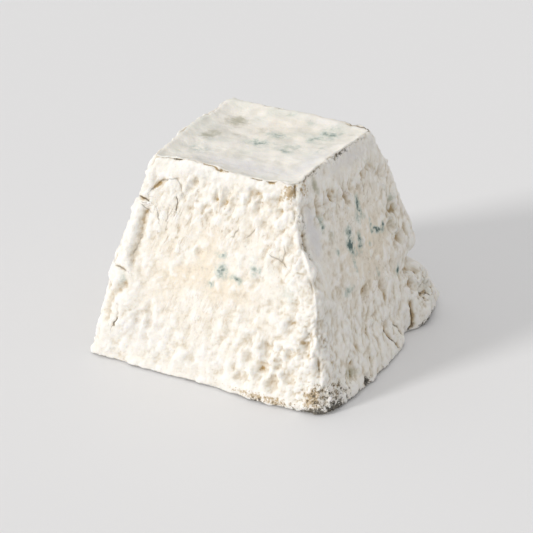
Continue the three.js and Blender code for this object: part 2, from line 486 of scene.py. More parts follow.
# Single dents, each with its depth in mm as the strength. A strength below 0 is a mound.
DENTS: tuple[Patch, ...] = marks(Patch, {
    Side.FRONT: (
        (-11.7, 54.7, 0.9, 1.7, 0.8, -28), (-10, 56.4, 0.8, 1.2, 0.5, -28),
        (-13.5, 52, 0.7, 1.6, 0.5, -28), (-7, 57, 1.1, 1, 0.35, -20),
        (-3.4, 53.5, 0.6, 1.5, 0.55, -10), (-0.8, 53, 0.9, 1.9, 0.9, -8),
        (0.2, 55.6, 1.3, 0.8, 0.5), (3, 53.6, 1, 1.2, 0.6, -20), (1.6, 50.6, 0.8, 1.4, 0.55, -30),
        (5, 56.3, 0.9, 0.6, 0.4), (8.4, 56.6, 1.8, 0.8, 0.8, -8), (10.6, 53.2, 1.4, 1.9, 0.8, -30),
        (14.6, 55.2, 0.9, 1.1, 0.6, -20), (12.6, 49.5, 1.6, 1.8, 0.45, -20),
        (-6.4, 37.4, 1, 1.1, 0.6), (18.9, 37.6, 2.2, 2, 0.5, -15), (10.9, 22.4, 1.8, 1.7, 0.6, -10),
        (6.2, 17.5, 1.4, 1.7, 0.5), (13, 17.2, 1.2, 1.2, 0.5, -15), (18.1, 15, 1.6, 1.5, 0.9, -10),
        (13.2, 11.2, 1.5, 1.5, 0.8, -5), (17.1, 9.2, 1.7, 1.7, 1.2),
        (21.6, 6.2, 1.4, 1.6, 0.9, -20), (11.6, 5.6, 1.6, 1.4, 0.8),
        (22.9, 11.4, 1.2, 1.3, 0.8, -15), (25.4, 15.2, 0.9, 1.5, 1, -25), (26, 9.4, 1.6, 1.4, 1),
        (29.9, 18.6, 1.1, 3.2, 1.2, -4), (19.8, 26.8, 2, 1.8, 0.6, -12), (24.5, 23, 1.4, 1.8, 0.6),
        (21.6, 43.7, 1, 1.6, 0.6, -10), (-20.5, 16.8, 1.1, 2.6, 0.45),
        (-23.9, 14.5, 0.9, 2, 0.4, -8), (-12.7, 6.1, 1.2, 0.8, 0.5, 10),
        (-28.2, 39.5, 1.9, 6.5, -0.38, -6), (-33, 22, 1.8, 5, -0.25, -6),
        (-26.5, 54, 1.6, 3, -0.35, -6),
    ),
    Side.RIGHT: (
        (10, 51.4, 1.1, 1, 0.6), (6.3, 50.5, 0.9, 1.4, 0.65), (15.1, 52.5, 1.4, 0.9, 0.7),
        (21, 48.1, 1.2, 1.6, 0.8), (9.2, 55.5, 0.8, 1, 0.45), (-4.9, 50.5, 0.9, 1.6, 0.7),
        (-0.7, 48.9, 0.9, 1.6, 0.7, -8), (0.4, 51.6, 0.8, 1, 0.5), (-18.8, 53.5, 0.7, 0.9, 0.5),
        (-15.7, 52.2, 0.8, 1.2, 0.6), (-12.3, 50.9, 0.8, 1.5, 0.7), (-16.6, 50, 0.8, 1.4, 0.8),
        (-9, 52.5, 0.7, 1.3, 0.5), (19.1, 33, 1.3, 1.6, 0.9), (21.5, 38, 1.2, 1.8, 0.7),
        (22, 28.5, 1.6, 1.2, 0.8), (-4.3, 21.4, 1.6, 2.2, 0.7), (5.9, 19.6, 1.2, 2, 0.7),
        (-28.1, 24.9, 1, 1.6, 0.6), (-5.5, 11.6, 1.8, 1.4, 0.6), (10.4, 9.2, 1.2, 1.4, 0.6),
        (24, 17.3, 1.3, 1.3, 1), (29.2, 15.2, 1.5, 1.2, 1), (23.6, 13, 1.2, 1.4, 0.9),
        (27, 9.2, 1.4, 1.4, 1), (31.8, 8.8, 1.4, 1.4, 0.9), (-23.7, 6.8, 3.4, 1.4, 0.5, 22),
        (-17.8, 1.4, 1.2, 1.4, 1), (-28.2, 39.5, 1.8, 2.6, -0.8), (-26.8, 34.5, 2, 1.6, 0.6),
    ),
    Side.BACK: (
        (-14, 52, 1, 1.8, 0.8, -15), (-8, 49.5, 1.2, 1.4, 0.7), (4, 53, 1.4, 1, 0.7),
        (12.5, 50, 1, 1.8, 0.8, 12), (-20, 16, 1.6, 2, 1.1), (-25, 11, 1.5, 1.5, 1),
        (-16, 9.5, 1.8, 1.5, 1), (18, 22, 1.4, 2.4, 0.8, -10),
    ),
    Side.LEFT: (
        (-11, 52.5, 1.2, 1.6, 0.8, -10), (1, 50.5, 1, 1.8, 0.7), (9.5, 53, 1.4, 1, 0.7),
        (20, 15, 1.5, 1.8, 1.1), (24.5, 9.5, 1.6, 1.4, 1), (14.5, 8, 1.6, 1.8, 1),
        (-18, 24, 1.3, 2.2, 0.7),
    ),
})

# Where fine slanted strokes comb the rind.
COMBED: tuple[Patch, ...] = marks(Patch, {
    Side.FRONT: (
        (-18, 43, 8, 8, 1), (-4, 46, 14, 5, 0.8), (16, 42, 9, 8, 0.6), (0, 20, 26, 12, 0.4),
    ),
    Side.RIGHT: (
        (2, 46, 20, 7, 0.8), (0, 24, 24, 14, 0.55),
    ),
    Side.BACK: (
        (6, 44, 18, 9, 0.8), (-4, 22, 22, 12, 0.5),
    ),
    Side.LEFT: (
        (-4, 44, 18, 9, 0.8), (4, 22, 22, 12, 0.5),
    ),
})

# Where a smooth, cool bloom lies over everything.
CHALKY: tuple[Patch, ...] = marks(Patch, {
    Side.RIGHT: (
        (-20.8, 46, 3, 9, 1), (6, 58.5, 18, 3.2, 0.6),
    ),
    Side.FRONT: (
        (24, 47, 2.2, 9, 0.6), (-22, 12, 14, 8, 0.5), (-12, 59, 12, 3, 0.4), (2, 8, 16, 5, 0.4),
    ),
    Side.TOP: (
        (0, -15, 20, 5, 0.8), (16, -6, 5, 14, 0.7), (6, 21, 14, 3, 0.5),
    ),
    Side.BACK: (
        (12, 57, 10, 4, 0.5), (-16, 36, 5, 10, 0.6),
    ),
    Side.LEFT: (
        (-12, 56, 12, 4, 0.5), (16, 34, 6, 12, 0.6),
    ),
})

# Where the rind stays smooth, whatever the lists above say.
SMOOTH: tuple[Patch, ...] = marks(Patch, {
    Side.FRONT: (
        (-8, 25, 14, 9, 0.6), (-5, 60, 30, 3, 0.7), (-4, 36, 14, 7, 0.6),
    ),
    Side.RIGHT: (
        (-22, 40, 3.5, 13, 1), (0, 39, 15, 8, 0.75), (2, 58, 24, 4.5, 0.9), (2, 28, 14, 8, 0.5),
    ),
    Side.BACK: (
        (4, 59, 24, 3.5, 0.8),
    ),
    Side.LEFT: (
        (0, 59, 24, 3.5, 0.8), (-20, 36, 5, 12, 0.7),
    ),
})

# Spots of blue-green mould.
MOULD: tuple[Patch, ...] = marks(Patch, {
    Side.FRONT: (
        (0.6, 38, 2.2, 1.1, 0.55), (1, 33.6, 2.3, 2.3, 0.68, 20), (5.7, 32, 2.5, 1.3, 0.62, -15),
        (-1.9, 29.2, 2, 1.1, 0.65, 35), (11.2, 35.5, 1.8, 1.5, 0.6), (12.3, 35.8, 1, 1.2, 0.6),
        (10, 38.8, 0.9, 1.6, 0.3), (6.4, 36.4, 1.4, 1.3, 0.25), (-30, 25.2, 1.3, 3, 0.35),
        (22.6, 31.7, 3, 4, 0.25),
    ),
    Side.RIGHT: (
        (4, 44.9, 1.3, 3.2, 1.1), (2, 42.3, 1.6, 2.4, 0.6), (5.8, 41.3, 1.4, 1.3, 0.35),
        (-16.5, 47.1, 1.2, 2.4, 0.7), (7.9, 38, 0.9, 1.5, 1), (8.6, 35.9, 1.4, 1, 1.3),
        (11, 34.9, 2.4, 0.9, 1.4, -23), (13.5, 34.2, 1.8, 0.9, 1.4, -15),
        (14.9, 34.9, 0.9, 1.2, 1.2), (-4.8, 40.1, 2.2, 2, 0.7), (-5, 37, 2, 3.8, 1.15),
        (0.2, 35.4, 1.2, 2.8, 0.85), (5.1, 33.2, 0.7, 1.1, 0.6), (-12.8, 37.4, 1.1, 1.4, 0.45),
        (-2.5, 33.1, 1, 1.2, 0.55), (-5.6, 31.4, 1.2, 3, 0.75), (6.2, 23.8, 1, 2, 0.4),
        (18, 19.9, 1.2, 2, 0.8), (-12.4, 26, 3.8, 1.6, 0.5), (23.1, 40.5, 2, 2, 0.3),
    ),
    Side.TOP: (
        (-4.7, 1.5, 4.7, 3.2, 0.52), (-2.3, 8.4, 4.2, 2.9, 0.47), (5.1, -0.5, 3.8, 2.5, 0.47),
        (6.2, 3.5, 2.7, 2.2, 0.43), (-18.1, -11.1, 4.7, 3.2, 0.38), (9.3, 10.7, 3.4, 3.6, 0.52),
        (11.3, 15.4, 3.6, 5.4, 0.57), (3.3, 19.1, 2.7, 2.2, 0.33), (14.4, 4, 2.1, 4.3, 0.33),
        (-4.5, 21, 3.2, 1.8, 0.28), (2, 3, 13, 6, 0.24), (11, 12, 7, 8, 0.26),
        (-17, -10, 6, 6, 0.2),
    ),
    Side.BACK: (
        (-6, 36, 1.6, 3.2, 0.9), (-2, 33.5, 1.1, 1.6, 0.7), (3.5, 38, 1.2, 2.6, 0.6),
        (-10.5, 30, 1.6, 1.2, 0.6), (11, 27, 1.2, 2.2, 0.5), (14.5, 41, 1.8, 1.2, 0.5),
    ),
    Side.LEFT: (
        (-4, 34, 1.8, 1.6, 0.8), (-0.5, 30.5, 2.2, 1.1, 0.7), (6, 36.5, 1.2, 2.2, 0.6),
        (12, 28, 1.4, 1.4, 0.5), (-13, 25, 1.6, 1.2, 0.5),
    ),
})

# Olive tints of the rind, partly brown-grey painted shade in folds, wrinkles and crumbly hollows.
OLIVE: tuple[Patch, ...] = marks(Patch, {
    Side.RIGHT: (
        (-14.3, 57.6, 1.6, 3, 0.85), (-23.7, 6.8, 4, 2, 0.6, -20), (-13.9, 42.5, 2.4, 3.4, 0.5),
        (21, 36, 4, 11, 0.42), (31, 10, 6, 6, 0.42), (-6, 50.5, 16, 3, 0.25),
    ),
    Side.TOP: (
        (-17.5, 12, 4, 4.5, 0.78), (-19.5, -1, 2.6, 4.5, 0.75), (-8, 10, 2.2, 2.6, 0.5),
        (-14, 3, 2, 2, 0.35), (5.5, 2.3, 5, 1.4, 0.35), (6.5, -8, 2.2, 2.4, 0.4),
        (14, 17.5, 6, 1.5, 0.3),
    ),
    Side.FRONT: (
        (-28.5, 33, 1.8, 5, 0.35),
    ),
    Side.BACK: (
        (18, 52, 2, 3.4, 0.5),
    ),
    Side.LEFT: (
        (-15, 50, 2.4, 3, 0.5),
    ),
})

# Warm, creamy ground, where the bloom is thin.
CREAMY: tuple[Patch, ...] = marks(Patch, {
    Side.FRONT: (
        (-4, 32, 22, 16, 1), (12, 44, 14, 12, 0.5),
    ),
    Side.RIGHT: (
        (4, 34, 18, 16, 0.9),
    ),
    Side.BACK: (
        (0, 32, 20, 16, 0.9),
    ),
    Side.LEFT: (
        (0, 32, 20, 16, 0.9),
    ),
    Side.TOP: (
        (-2, 12, 16, 8, 0.4),
    ),
})

# Ochre crumbs and stains.
OCHRE: tuple[Patch, ...] = marks(Patch, {
    Side.FRONT: (
        (19, 58.4, 4, 2.8, 1.05), (34, 4.5, 4, 5, 0.95), (19, 1.8, 14, 2.2, 0.85),
        (-6.4, 37.4, 1.2, 1.2, 0.6), (-22.8, 53.2, 1.9, 0.8, 1.2, 42), (-9.6, 54.4, 1.3, 1.1, 0.6),
        (-3.4, 52.6, 0.8, 1.8, 0.62), (-0.7, 51.6, 0.8, 2, 0.68), (10.6, 53.8, 2.2, 0.9, 0.6),
        (18, 36.4, 1.6, 1.6, 0.5), (16.9, 9.4, 0.9, 0.9, 0.7), (20.6, 13.6, 0.8, 1.2, 0.6),
    ),
    Side.RIGHT: (
        (-20, 58, 2.6, 3, 0.8), (-34, 5, 4, 5, 0.7), (10, 52, 2.4, 1.6, 0.55),
        (-9, 50, 5, 2.4, 0.4), (3.5, 27.9, 2, 1.2, 0.5),
    ),
    Side.BACK: (
        (20, 58, 3, 3, 0.6),
    ),
    Side.LEFT: (
        (-34, 4, 4, 4, 0.6),
    ),
})

# Ash that still clings round the foot and, thinly, along the rim and the upright edges. The strong
# dark strips along the very foot and the dark spot in the notch are partly painted shadow.
ASH_AND_FOOT_SHADOW: tuple[Patch, ...] = marks(Patch, {
    Side.FRONT: (
        # The strips at the very foot by the near corner are partly painted shadow.
        (30, 0.6, 9, 1.8, 0.75), (35, 4.5, 4, 5, 0.78), (18, 0.6, 9, 1.8, 0.9),
        (-17.2, 61.6, 2.6, 0.7, 0.8), (24.6, 52, 1.6, 6, 0.5), (37.5, 1, 3, 4, 0.9),
        (36, 0, 7, 2.2, 2),
    ),
    Side.RIGHT: (
        # The strips at the very foot and the dark spot in the notch are partly painted shadow.
        (-31, 3.5, 6, 4.5, 0.74), (-17.8, 1.4, 1.5, 1.5, 2.2), (30, 9, 6, 6, 0.5),
        (2, 61, 8, 1.6, 0.8), (-14, 60.8, 6, 1.4, 0.6), (16, 61, 7, 1.2, 0.5),
        (-24.5, 52, 1.8, 6, 0.6), (-26.2, 41, 1.5, 4.5, 1.2), (-14, 0, 24, 0.9, 1.8),
        (11, 0, 12, 0.8, 1.6), (28, 0, 9, 2.4, 1.6), (-35.5, 4.5, 5, 5, 0.8),
        (-35.5, 0.4, 5, 3, 1.7), (-26, 0, 9, 1.3, 1.5),
    ),
    Side.TOP: (
        (21.6, 22.6, 1.4, 1.4, 1),
    ),
    Side.BACK: (
        (-30, 3, 8, 4, 0.9), (0, 0, 24, 1.3, 0.8), (33, 2.5, 5, 3.5, 0.7),
    ),
    Side.LEFT: (
        (10, 0, 20, 1.3, 0.7), (32, 2.5, 5, 3.5, 0.8),
    ),
})

# Cracks and fold lines. The wide, pale ones are folds. Their darkness is painted shade in the groove.
CRACKS: tuple[Crack, ...] = marks(Crack, {
    Side.FRONT: (
        (((-28.5, 49.2), (-26.5, 49), (-25, 48.6)), 0.6, 1, 0.8),
        (((-26.2, 47), (-24, 45.8)), 0.5, 0.5, 0.5),
        (((-24.2, 51.6), (-22.3, 53.8), (-20.5, 55.3)), 0.5, 0.5, 0.45),
        (((-20.5, 55.3), (-16.4, 56.2), (-15.2, 54.5), (-14.8, 53.2)), 0.4, 0.25, 0.35),
        (((-15.8, 50.6), (-15.6, 47.8)), 0.4, 0.35, 0.8),
        (((-21.4, 45.8), (-20.7, 44)), 0.4, 0.25, 0.5),
        (((-18, 46.3), (-18, 44.3)), 0.4, 0.25, 0.4),
        (((-25.4, 45), (-25.7, 40.6), (-26.1, 36.8), (-27.3, 33.3), (-27.4, 31.2)), 1.3, 1, 0.12),
        (((-32, 28.9), (-31.1, 28.7), (-29.4, 28.1)), 0.45, 0.7, 0.5),
        (((-29, 24.1), (-33, 20.4), (-34.3, 15.3), (-34.3, 12.5)), 1.2, 0.9, 0.08),
        (((-31.2, 17.6), (-30.7, 15.4), (-31, 13.8)), 0.4, 0.2, 0.15),
        (((-31, 13.6), (-32.2, 11)), 0.5, 0.7, 0.95),
        (((-25.4, 38.9), (-26.4, 35.8), (-27.3, 33)), 0.4, 0.3, 0.45),
        (((9.4, 46.6), (7.8, 44.8)), 0.4, 0.25, 0.4), (((4.3, 46), (3, 43.6)), 0.4, 0.25, 0.4),
        (((15.5, 40.8), (18.7, 39.6), (20.2, 38.8)), 0.4, 0.3, 0.4),
        (((19, 44), (19.8, 41.7), (18.9, 39.6)), 0.4, 0.3, 0.3),
    ),
    Side.RIGHT: (
        (((-23.4, 53.4), (-23.5, 51.7), (-24.2, 48.5)), 0.5, 0.3, 0.25),
        (((-24.9, 47), (-25.7, 43.5), (-26.2, 40.5), (-25.4, 37)), 1.2, 1.4, 0.85),
        (((1.3, 9), (1.1, 7.1), (2.8, 4.9), (4.4, 2.6)), 0.6, 0.9, 0.9),
        (((7, 7.8), (8.7, 6.2), (9.8, 4)), 0.5, 0.6, 0.6),
        (((20, 8.5), (19.2, 4.5), (18.6, 0.5)), 0.9, 1.2, 0.8),
    ),
    Side.BACK: (
        (((-14, 9), (-12.5, 6), (-13, 2)), 0.6, 0.8, 0.9),
        (((17, 50), (19.5, 47), (20.5, 43)), 0.5, 0.6, 0.7),
    ),
    Side.LEFT: (
        (((28.5, 48.9), (25, 48)), 0.5, 0.7, 0.5), (((32.5, 28.9), (29.5, 29.8)), 0.45, 0.6, 0.4),
        (((-22, 50), (-20.5, 46), (-21.5, 42.5)), 0.6, 0.7, 0.8),
        (((8, 7.5), (10.5, 5), (11, 1.5)), 0.6, 0.8, 0.8),
    ),
})

# Where the crust has parted or stained along the rim; the parting's dark is painted shade.
RIM_LINES: tuple[RimLine, ...] = marks(RimLine, {
    Side.FRONT: (
        (-23.5, -19.5, -0.36, 0.2, 0.3, 0.55), (-19.8, -14.6, -0.3, 1.1, 1, 0.25),
        (-14, -9.5, -0.36, 0.2, 0.25, 0.2), (-9, -1, -0.39, 0.35, 0.35, 0.95),
        (-5.5, -3, -0.39, 0.4, 0.7, 0.8), (6, 9.5, -0.39, 0.5, 0.75, 0.8),
        (11, 14, -0.36, 0.5, 0.6, 0.85), (15, 21, -0.36, 0.2, 0.2, 0.45),
    ),
    Side.RIGHT: (
        (-21, -16, -0.39, 0.4, 0.35, 0.45), (-15, -6, -0.54, 0.2, 0.2, 0.12),
        (-5, 7, -0.57, 0.3, 0.27, 0.1), (8, 18, -0.51, 0.2, 0.18, 0.1),
        (19.5, 23.5, -0.45, 0.3, 0.85, 0.3),
    ),
    Side.BACK: (
        (-20, -13, 0.3, 0.4, 0.5, 0.25), (6, 14, 0.2, 0.3, 0.4, 0.25),
    ),
    Side.LEFT: (
        (-16, -9, 0.3, 0.3, 0.15, 0.2),
    ),
})


# ---------------------------------------------------------------------------------------------
# The form of the cheese
# ---------------------------------------------------------------------------------------------


@dataclass(frozen=True)
class PyramidForm:
    """The settled body of the cheese, before its rind wrinkled. Sizes are in mm.

    Slumps are how far each corner has moved in X and Y from a true square, as
    (base x, base y, top x, top y). The rim is crisp towards the front right and turns to a
    soft shoulder towards the back left, over the shares from crisp to soft. A leaning face is
    pushed out in full, and the points inside it less, down to nothing at the hold share of the
    way out from the upright axis.
    """

    base_side: float = 78.0
    top_side: float = 46.0
    height: float = 61.5
    corner_radius: float = 4.5
    lip_radius: float = 1.1
    shoulder_radius: float = 2.4
    foot_radius: float = 1.6
    dish_depth: float = 2.4
    dish_reach: float = 3.5
    belly: float = 0.9
    lip_band: float = 9.0
    crisp_share: float = -0.4
    soft_share: float = 0.9
    hold_share: float = 0.55
    slump_front_left: tuple[float, ...] = (-0.6, 0.5, -0.9, -0.7)
    slump_front_right: tuple[float, ...] = (0.5, -0.5, -2.2, 1.5)
    slump_back_right: tuple[float, ...] = (-0.5, 1.9, -0.3, 0.9)
    slump_back_left: tuple[float, ...] = (0.0, 0.5, -2.1, 0.3)

    def round_plan(self, plan: Array, reach: Array) -> Array:
        """Rounds the upright edges of the unit square.

        Args:
            plan: X and Y from -1 to 1.
            reach: The larger of the two sizes of X and Y.

        Returns:
            The points, where those past the inner square are drawn in to a quarter circle
            about its corner.
        """
        fillet = self.corner_radius / (self.base_side / 2)
        edge = plan / np.maximum(reach, TINY)[:, None]
        inner = np.clip(edge, fillet - 1.0, 1.0 - fillet)
        offset = edge - inner
        length = np.maximum(np.linalg.norm(offset, axis=1), TINY)
        return (inner + offset * (fillet / length)[:, None]) * reach[:, None]

    def round_profile(self, reach: Array, height: Array, rim: Array) -> tuple[Array, Array]:
        """Rounds the rim and the foot.

        Args:
            reach: 0 on the upright axis and 1 on a leaning face.
            height: Height in mm.
            rim: The rim's radius at each point in mm.

        Returns:
            How much each point is drawn in, as a share, and its new height in mm.
        """
        half = self.base_side / 2
        out = reach * half
        radius = np.where(height > self.height / 2, rim, self.foot_radius)
        inner_out = np.minimum(out, half - radius)
        inner_height = np.clip(height, radius, self.height - radius)
        offset_out, offset_up = out - inner_out, height - inner_height
        scale = radius / np.maximum(np.hypot(offset_out, offset_up), TINY)
        inset = (inner_out + offset_out * scale) / half
        return inset / np.maximum(reach, TINY), inner_height + offset_up * scale

    def corner(self, sign_x: int, sign_y: int, slump: tuple[float, ...], share: Array) -> Array:
        """A corner of the outline at a share of the height between base and top.

        Args:
            sign_x: -1 for a left corner, 1 for a right one.
            sign_y: -1 for a front corner, 1 for a back one.
            slump: How far that corner has moved.
            share: Shares of the height.

        Returns:
            X and Y of the corner at each share, in mm.
        """
        half = (self.base_side + (self.top_side - self.base_side) * share) / 2
        drift_x = slump[0] + (slump[2] - slump[0]) * share
        drift_y = slump[1] + (slump[3] - slump[1]) * share
        return np.stack([sign_x * half + drift_x, sign_y * half + drift_y], axis=1)

    def spread(self, plan: Array, share: Array) -> Array:
        """Spreads the unit square between the four corners at each height, evenly both ways.

        Args:
            plan: X and Y from -1 to 1.
            share: Shares of the height.

        Returns:
            X and Y in mm.
        """
        right = ((1.0 + plan[:, 0]) / 2)[:, None]
        back = ((1.0 + plan[:, 1]) / 2)[:, None]
        front_left = self.corner(-1, -1, self.slump_front_left, share)
        front_right = self.corner(1, -1, self.slump_front_right, share)
        back_right = self.corner(1, 1, self.slump_back_right, share)
        back_left = self.corner(-1, 1, self.slump_back_left, share)
        front = front_left + (front_right - front_left) * right
        rear = back_left + (back_right - back_left) * right
        return front + (rear - front) * back

    def push_out(self, side: Side, along: Array, up: Array) -> Array:
        """How far a leaning face stands out: half a sine for the belly, and a bell for each swell.

        Args:
            side: The leaning face.
            along: Millimetres along it.
            up: Height in mm.

        Returns:
            The distance in mm.
        """
        out = self.belly * np.sin(math.pi * np.clip(up / self.height, 0.0, 1.0))
        for swell in SWELLS:
            if swell.side is side:
                half = (self.base_side + (self.top_side - self.base_side) * swell.up) / 2
                across = (along - swell.along * half) / swell.wide
                rise = (up - swell.up * self.height) / swell.tall
                out = out + swell.out * np.exp(-across * across - rise * rise)
        return out

    def lip_lift(self, place: Array) -> Array:
        """How much the rim rises at a place in plan, as a bell round each rise or dip.

        Args:
            place: X and Y in mm.

        Returns:
            The rise in mm, below 0 in a dip.
        """
        half = self.top_side / 2
        lift = np.zeros(len(place))
        for spot in LIP_LIFTS:
            distance = np.hypot(place[:, 0] - spot.x * half, place[:, 1] - spot.y * half) / spot.reach
            lift += spot.lift * np.exp(-distance * distance)
        return lift

    def place(self, block: Array) -> Array:
        """Moves points of the unit block to the settled cheese.

        Args:
            block: X and Y from -1 to 1 and Z from 0 to 1, on the block's surface.

        Returns:
            The points in mm: rounded in plan and in profile, spread between the corners,
            pushed out by belly and swells, and dished inside the lip by 1 - exp(-d / reach).
        """
        reach = np.max(np.abs(block[:, :2]), axis=1)
        rounded = self.round_plan(block[:, :2], reach)
        softness = smooth_step(self.crisp_share, self.soft_share, block[:, 1] - block[:, 0])
        rim = self.lip_radius + (self.shoulder_radius - self.lip_radius) * softness
        inset, level = self.round_profile(reach, block[:, 2] * self.height, rim)
        unit = rounded * inset[:, None]
        plan = self.spread(unit, level / self.height)
        pushed = plan.copy()
        for side in Side:
            if side.leans:
                facing = smooth_step(self.hold_share, 1.0, unit @ side.outward[:2])
                out = self.push_out(side, plan @ side.along[:2], level)
                pushed += (facing * out)[:, None] * side.outward[:2]
        dish = self.dish_depth * (1.0 - np.exp(-(1.0 - reach) * (self.top_side / 2) / self.dish_reach))
        top_share = smooth_step(self.height - self.lip_band, self.height, level)
        rise = top_share * (self.lip_lift(plan) - dish)
        return np.column_stack([pushed, level + rise])


@dataclass(frozen=True)
class BlockGrid:
    """A closed grid over a unit block: rings up the underside and the sides, and a square top.

    Each ring has four times side_steps points. The underside has a middle point.
    """

    side_steps: int = 140
    height_steps: int = 124
    under_rings: int = 12

    def ring(self) -> Array:
        """Walks the square outline once round, from the front left corner.

        Returns:
            X and Y of its points.
        """
        step = np.arange(self.side_steps) / self.side_steps * 2.0 - 1.0
        one = np.ones(self.side_steps)
        front = np.column_stack([step, -one])
        right = np.column_stack([one, step])
        back = np.column_stack([-step, one])
        left = np.column_stack([-one, -step])
        return np.vstack([front, right, back, left])

    def points(self) -> Array:
        """Lays the grid on the unit block.

        Returns:
            Its points: the underside's middle, the rings, then the top's inner points.
        """
        ring = self.ring()
        under = [reach * ring for reach in np.arange(1, self.under_rings) / self.under_rings]
        levels = np.arange(self.height_steps + 1) / self.height_steps
        rows = [np.column_stack([plan, np.zeros(len(ring))]) for plan in under]
        rows += [np.column_stack([ring, np.full(len(ring), level)]) for level in levels]
        inner = np.arange(1, self.side_steps) / self.side_steps * 2.0 - 1.0
        x, y = np.meshgrid(inner, inner)
        top = np.column_stack([x.ravel(), y.ravel(), np.ones(x.size)])
        return np.vstack([np.zeros((1, 3))] + rows + [top])

    def rim_distance(self, form: PyramidForm) -> Array:
        """Measures each point from the rim.

        Args:
            form: The form that gives the block its size.

        Returns:
            How far each point lies inside the rim in mm, or below it where negative.
        """
        block = self.points()
        reach = np.max(np.abs(block[:, :2]), axis=1)
        inside = (1.0 - reach) * form.top_side / 2
        return np.where(block[:, 2] >= 1.0, inside, (block[:, 2] - 1.0) * form.height)

    def top_indices(self) -> Array:
        """Finds the top's points.

        Returns:
            Their indices, as a square whose border is the last ring.
        """
        n = self.side_steps
        last = 1 + (self.under_rings - 1 + self.height_steps) * 4 * n
        ring = last + np.arange(4 * n)
        square = np.empty((n + 1, n + 1), dtype=np.int64)
        square[0, :n] = ring[:n]
        square[:n, n] = ring[n : 2 * n]
        square[n, 1:] = ring[2 * n : 3 * n][::-1]
        square[1:, 0] = ring[3 * n :][::-1]
        square[1:n, 1:n] = (last + 4 * n) + np.arange((n - 1) ** 2).reshape(n - 1, n - 1)
        return square

    def quads(self) -> Array:
        """Joins the points into quads.

        Returns:
            The corners of every quad of the rings and of the top, anticlockwise from outside.
        """
        around = 4 * self.side_steps
        rings = 1 + np.arange((self.under_rings + self.height_steps) * around).reshape(-1, around)
        low, high = rings[:-1], rings[1:]
        sides = np.stack([low, np.roll(low, -1, 1), np.roll(high, -1, 1), high], axis=-1)
        square = self.top_indices()
        top = np.stack([square[:-1, :-1], square[:-1, 1:], square[1:, 1:], square[1:, :-1]], axis=-1)
        return np.vstack([sides.reshape(-1, 4), top.reshape(-1, 4)])

    def fan(self) -> Array:
        """The triangles from the underside's middle point to its innermost ring."""
        ring = 1 + np.arange(4 * self.side_steps)
        return np.column_stack([np.zeros_like(ring), np.roll(ring, -1), ring])

    def soften(self, values: Array, passes: int) -> Array:
        """Averages a field with its neighbours on the grid.

        Args:
            values: One number a point.
            passes: How many times each value is averaged. On the rings it becomes half itself
                and a quarter each neighbour, first along the rows and then across them. On
                the top it becomes half itself and an eighth each of its four neighbours.

        Returns:
            The softened field. The rings and the top are softened apart and share a border.
        """
        around = 4 * self.side_steps
        rows = self.under_rings + self.height_steps
        rings = values[1 : 1 + rows * around].reshape(rows, around)
        top = values[self.top_indices()]
        for _ in range(passes):
            rings = 0.5 * rings + 0.25 * (np.roll(rings, 1, 1) + np.roll(rings, -1, 1))
            tall = np.pad(rings, ((1, 1), (0, 0)), mode="edge")
            rings = 0.5 * rings + 0.25 * (tall[2:] + tall[:-2])
            wide = np.pad(top, 1, mode="edge")
            around_each = wide[2:, 1:-1] + wide[:-2, 1:-1] + wide[1:-1, 2:] + wide[1:-1, :-2]
            top = 0.5 * top + 0.125 * around_each
        result = values.copy()
        result[self.top_indices().ravel()] = top.ravel()
        result[1 : 1 + rows * around] = rings.ravel()
        return result


def point_normals(points: Array, quads: Array, fan: Array) -> Array:
    """Averages the faces' directions at each point.

    Args:
        points: The points.
        quads: The quads' corners.
        fan: The triangles' corners.

    Returns:
        A unit direction for each point: the sum of the cross products of the diagonals of the
        quads round it, and of the edges of the triangles.
    """
    total = np.zeros_like(points)
    across = np.cross(points[quads[:, 2]] - points[quads[:, 0]], points[quads[:, 3]] - points[quads[:, 1]])
    for corner in range(4):
        np.add.at(total, quads[:, corner], across)
    across = np.cross(points[fan[:, 1]] - points[fan[:, 0]], points[fan[:, 2]] - points[fan[:, 0]])
    for corner in range(3):
        np.add.at(total, fan[:, corner], across)
    return total / np.maximum(np.linalg.norm(total, axis=1), TINY)[:, None]

# ---------------------------------------------------------------------------------------------
# The rind
# ---------------------------------------------------------------------------------------------


@dataclass
class Chart:
    """One side laid out flat: where each point lies on it, and how much of the point is its own."""

    side: Side
    along: Array
    up: Array
    share: Array

    def cover(self, patches: tuple[Patch, ...]) -> Array:
        """The strength of the patches of this side at each point.

        Args:
            patches: Patches of any sides.

        Returns:
            For each point the largest of strength * exp(-(distance in half sizes)^2).
        """
        strength = np.zeros(len(self.along))
        for patch in patches:
            if patch.side is self.side:
                u, v = patch.offsets(self.along, self.up)
                strength = np.maximum(strength, patch.strength * np.exp(-(u**2) - v**2))
        return strength

    def noise(self, pitch: float, seed: int) -> Array:
        """Drift noise on the side, with swells of so many mm."""
        return drift_noise(self.along / pitch, self.up / pitch, seed)

    def layers(self, pitch: float, seed: int, count: int) -> Array:
        """Layered noise on the side, with its coarsest swells of so many mm."""
        return layered_noise(self.along / pitch, self.up / pitch, seed, count)

    def shift(self, bend: Pair, seed: int) -> tuple[Array, Array]:
        """Works out how far a pattern's coordinates are bent, from two drift noises.

        Args:
            bend: The size of the bends and how far they reach, in mm.
            seed: Picks the bends.

        Returns:
            The shifts along and up the side, in mm.
        """
        size, reach = bend
        return reach * self.noise(size, seed), reach * self.noise(size, seed + 1)


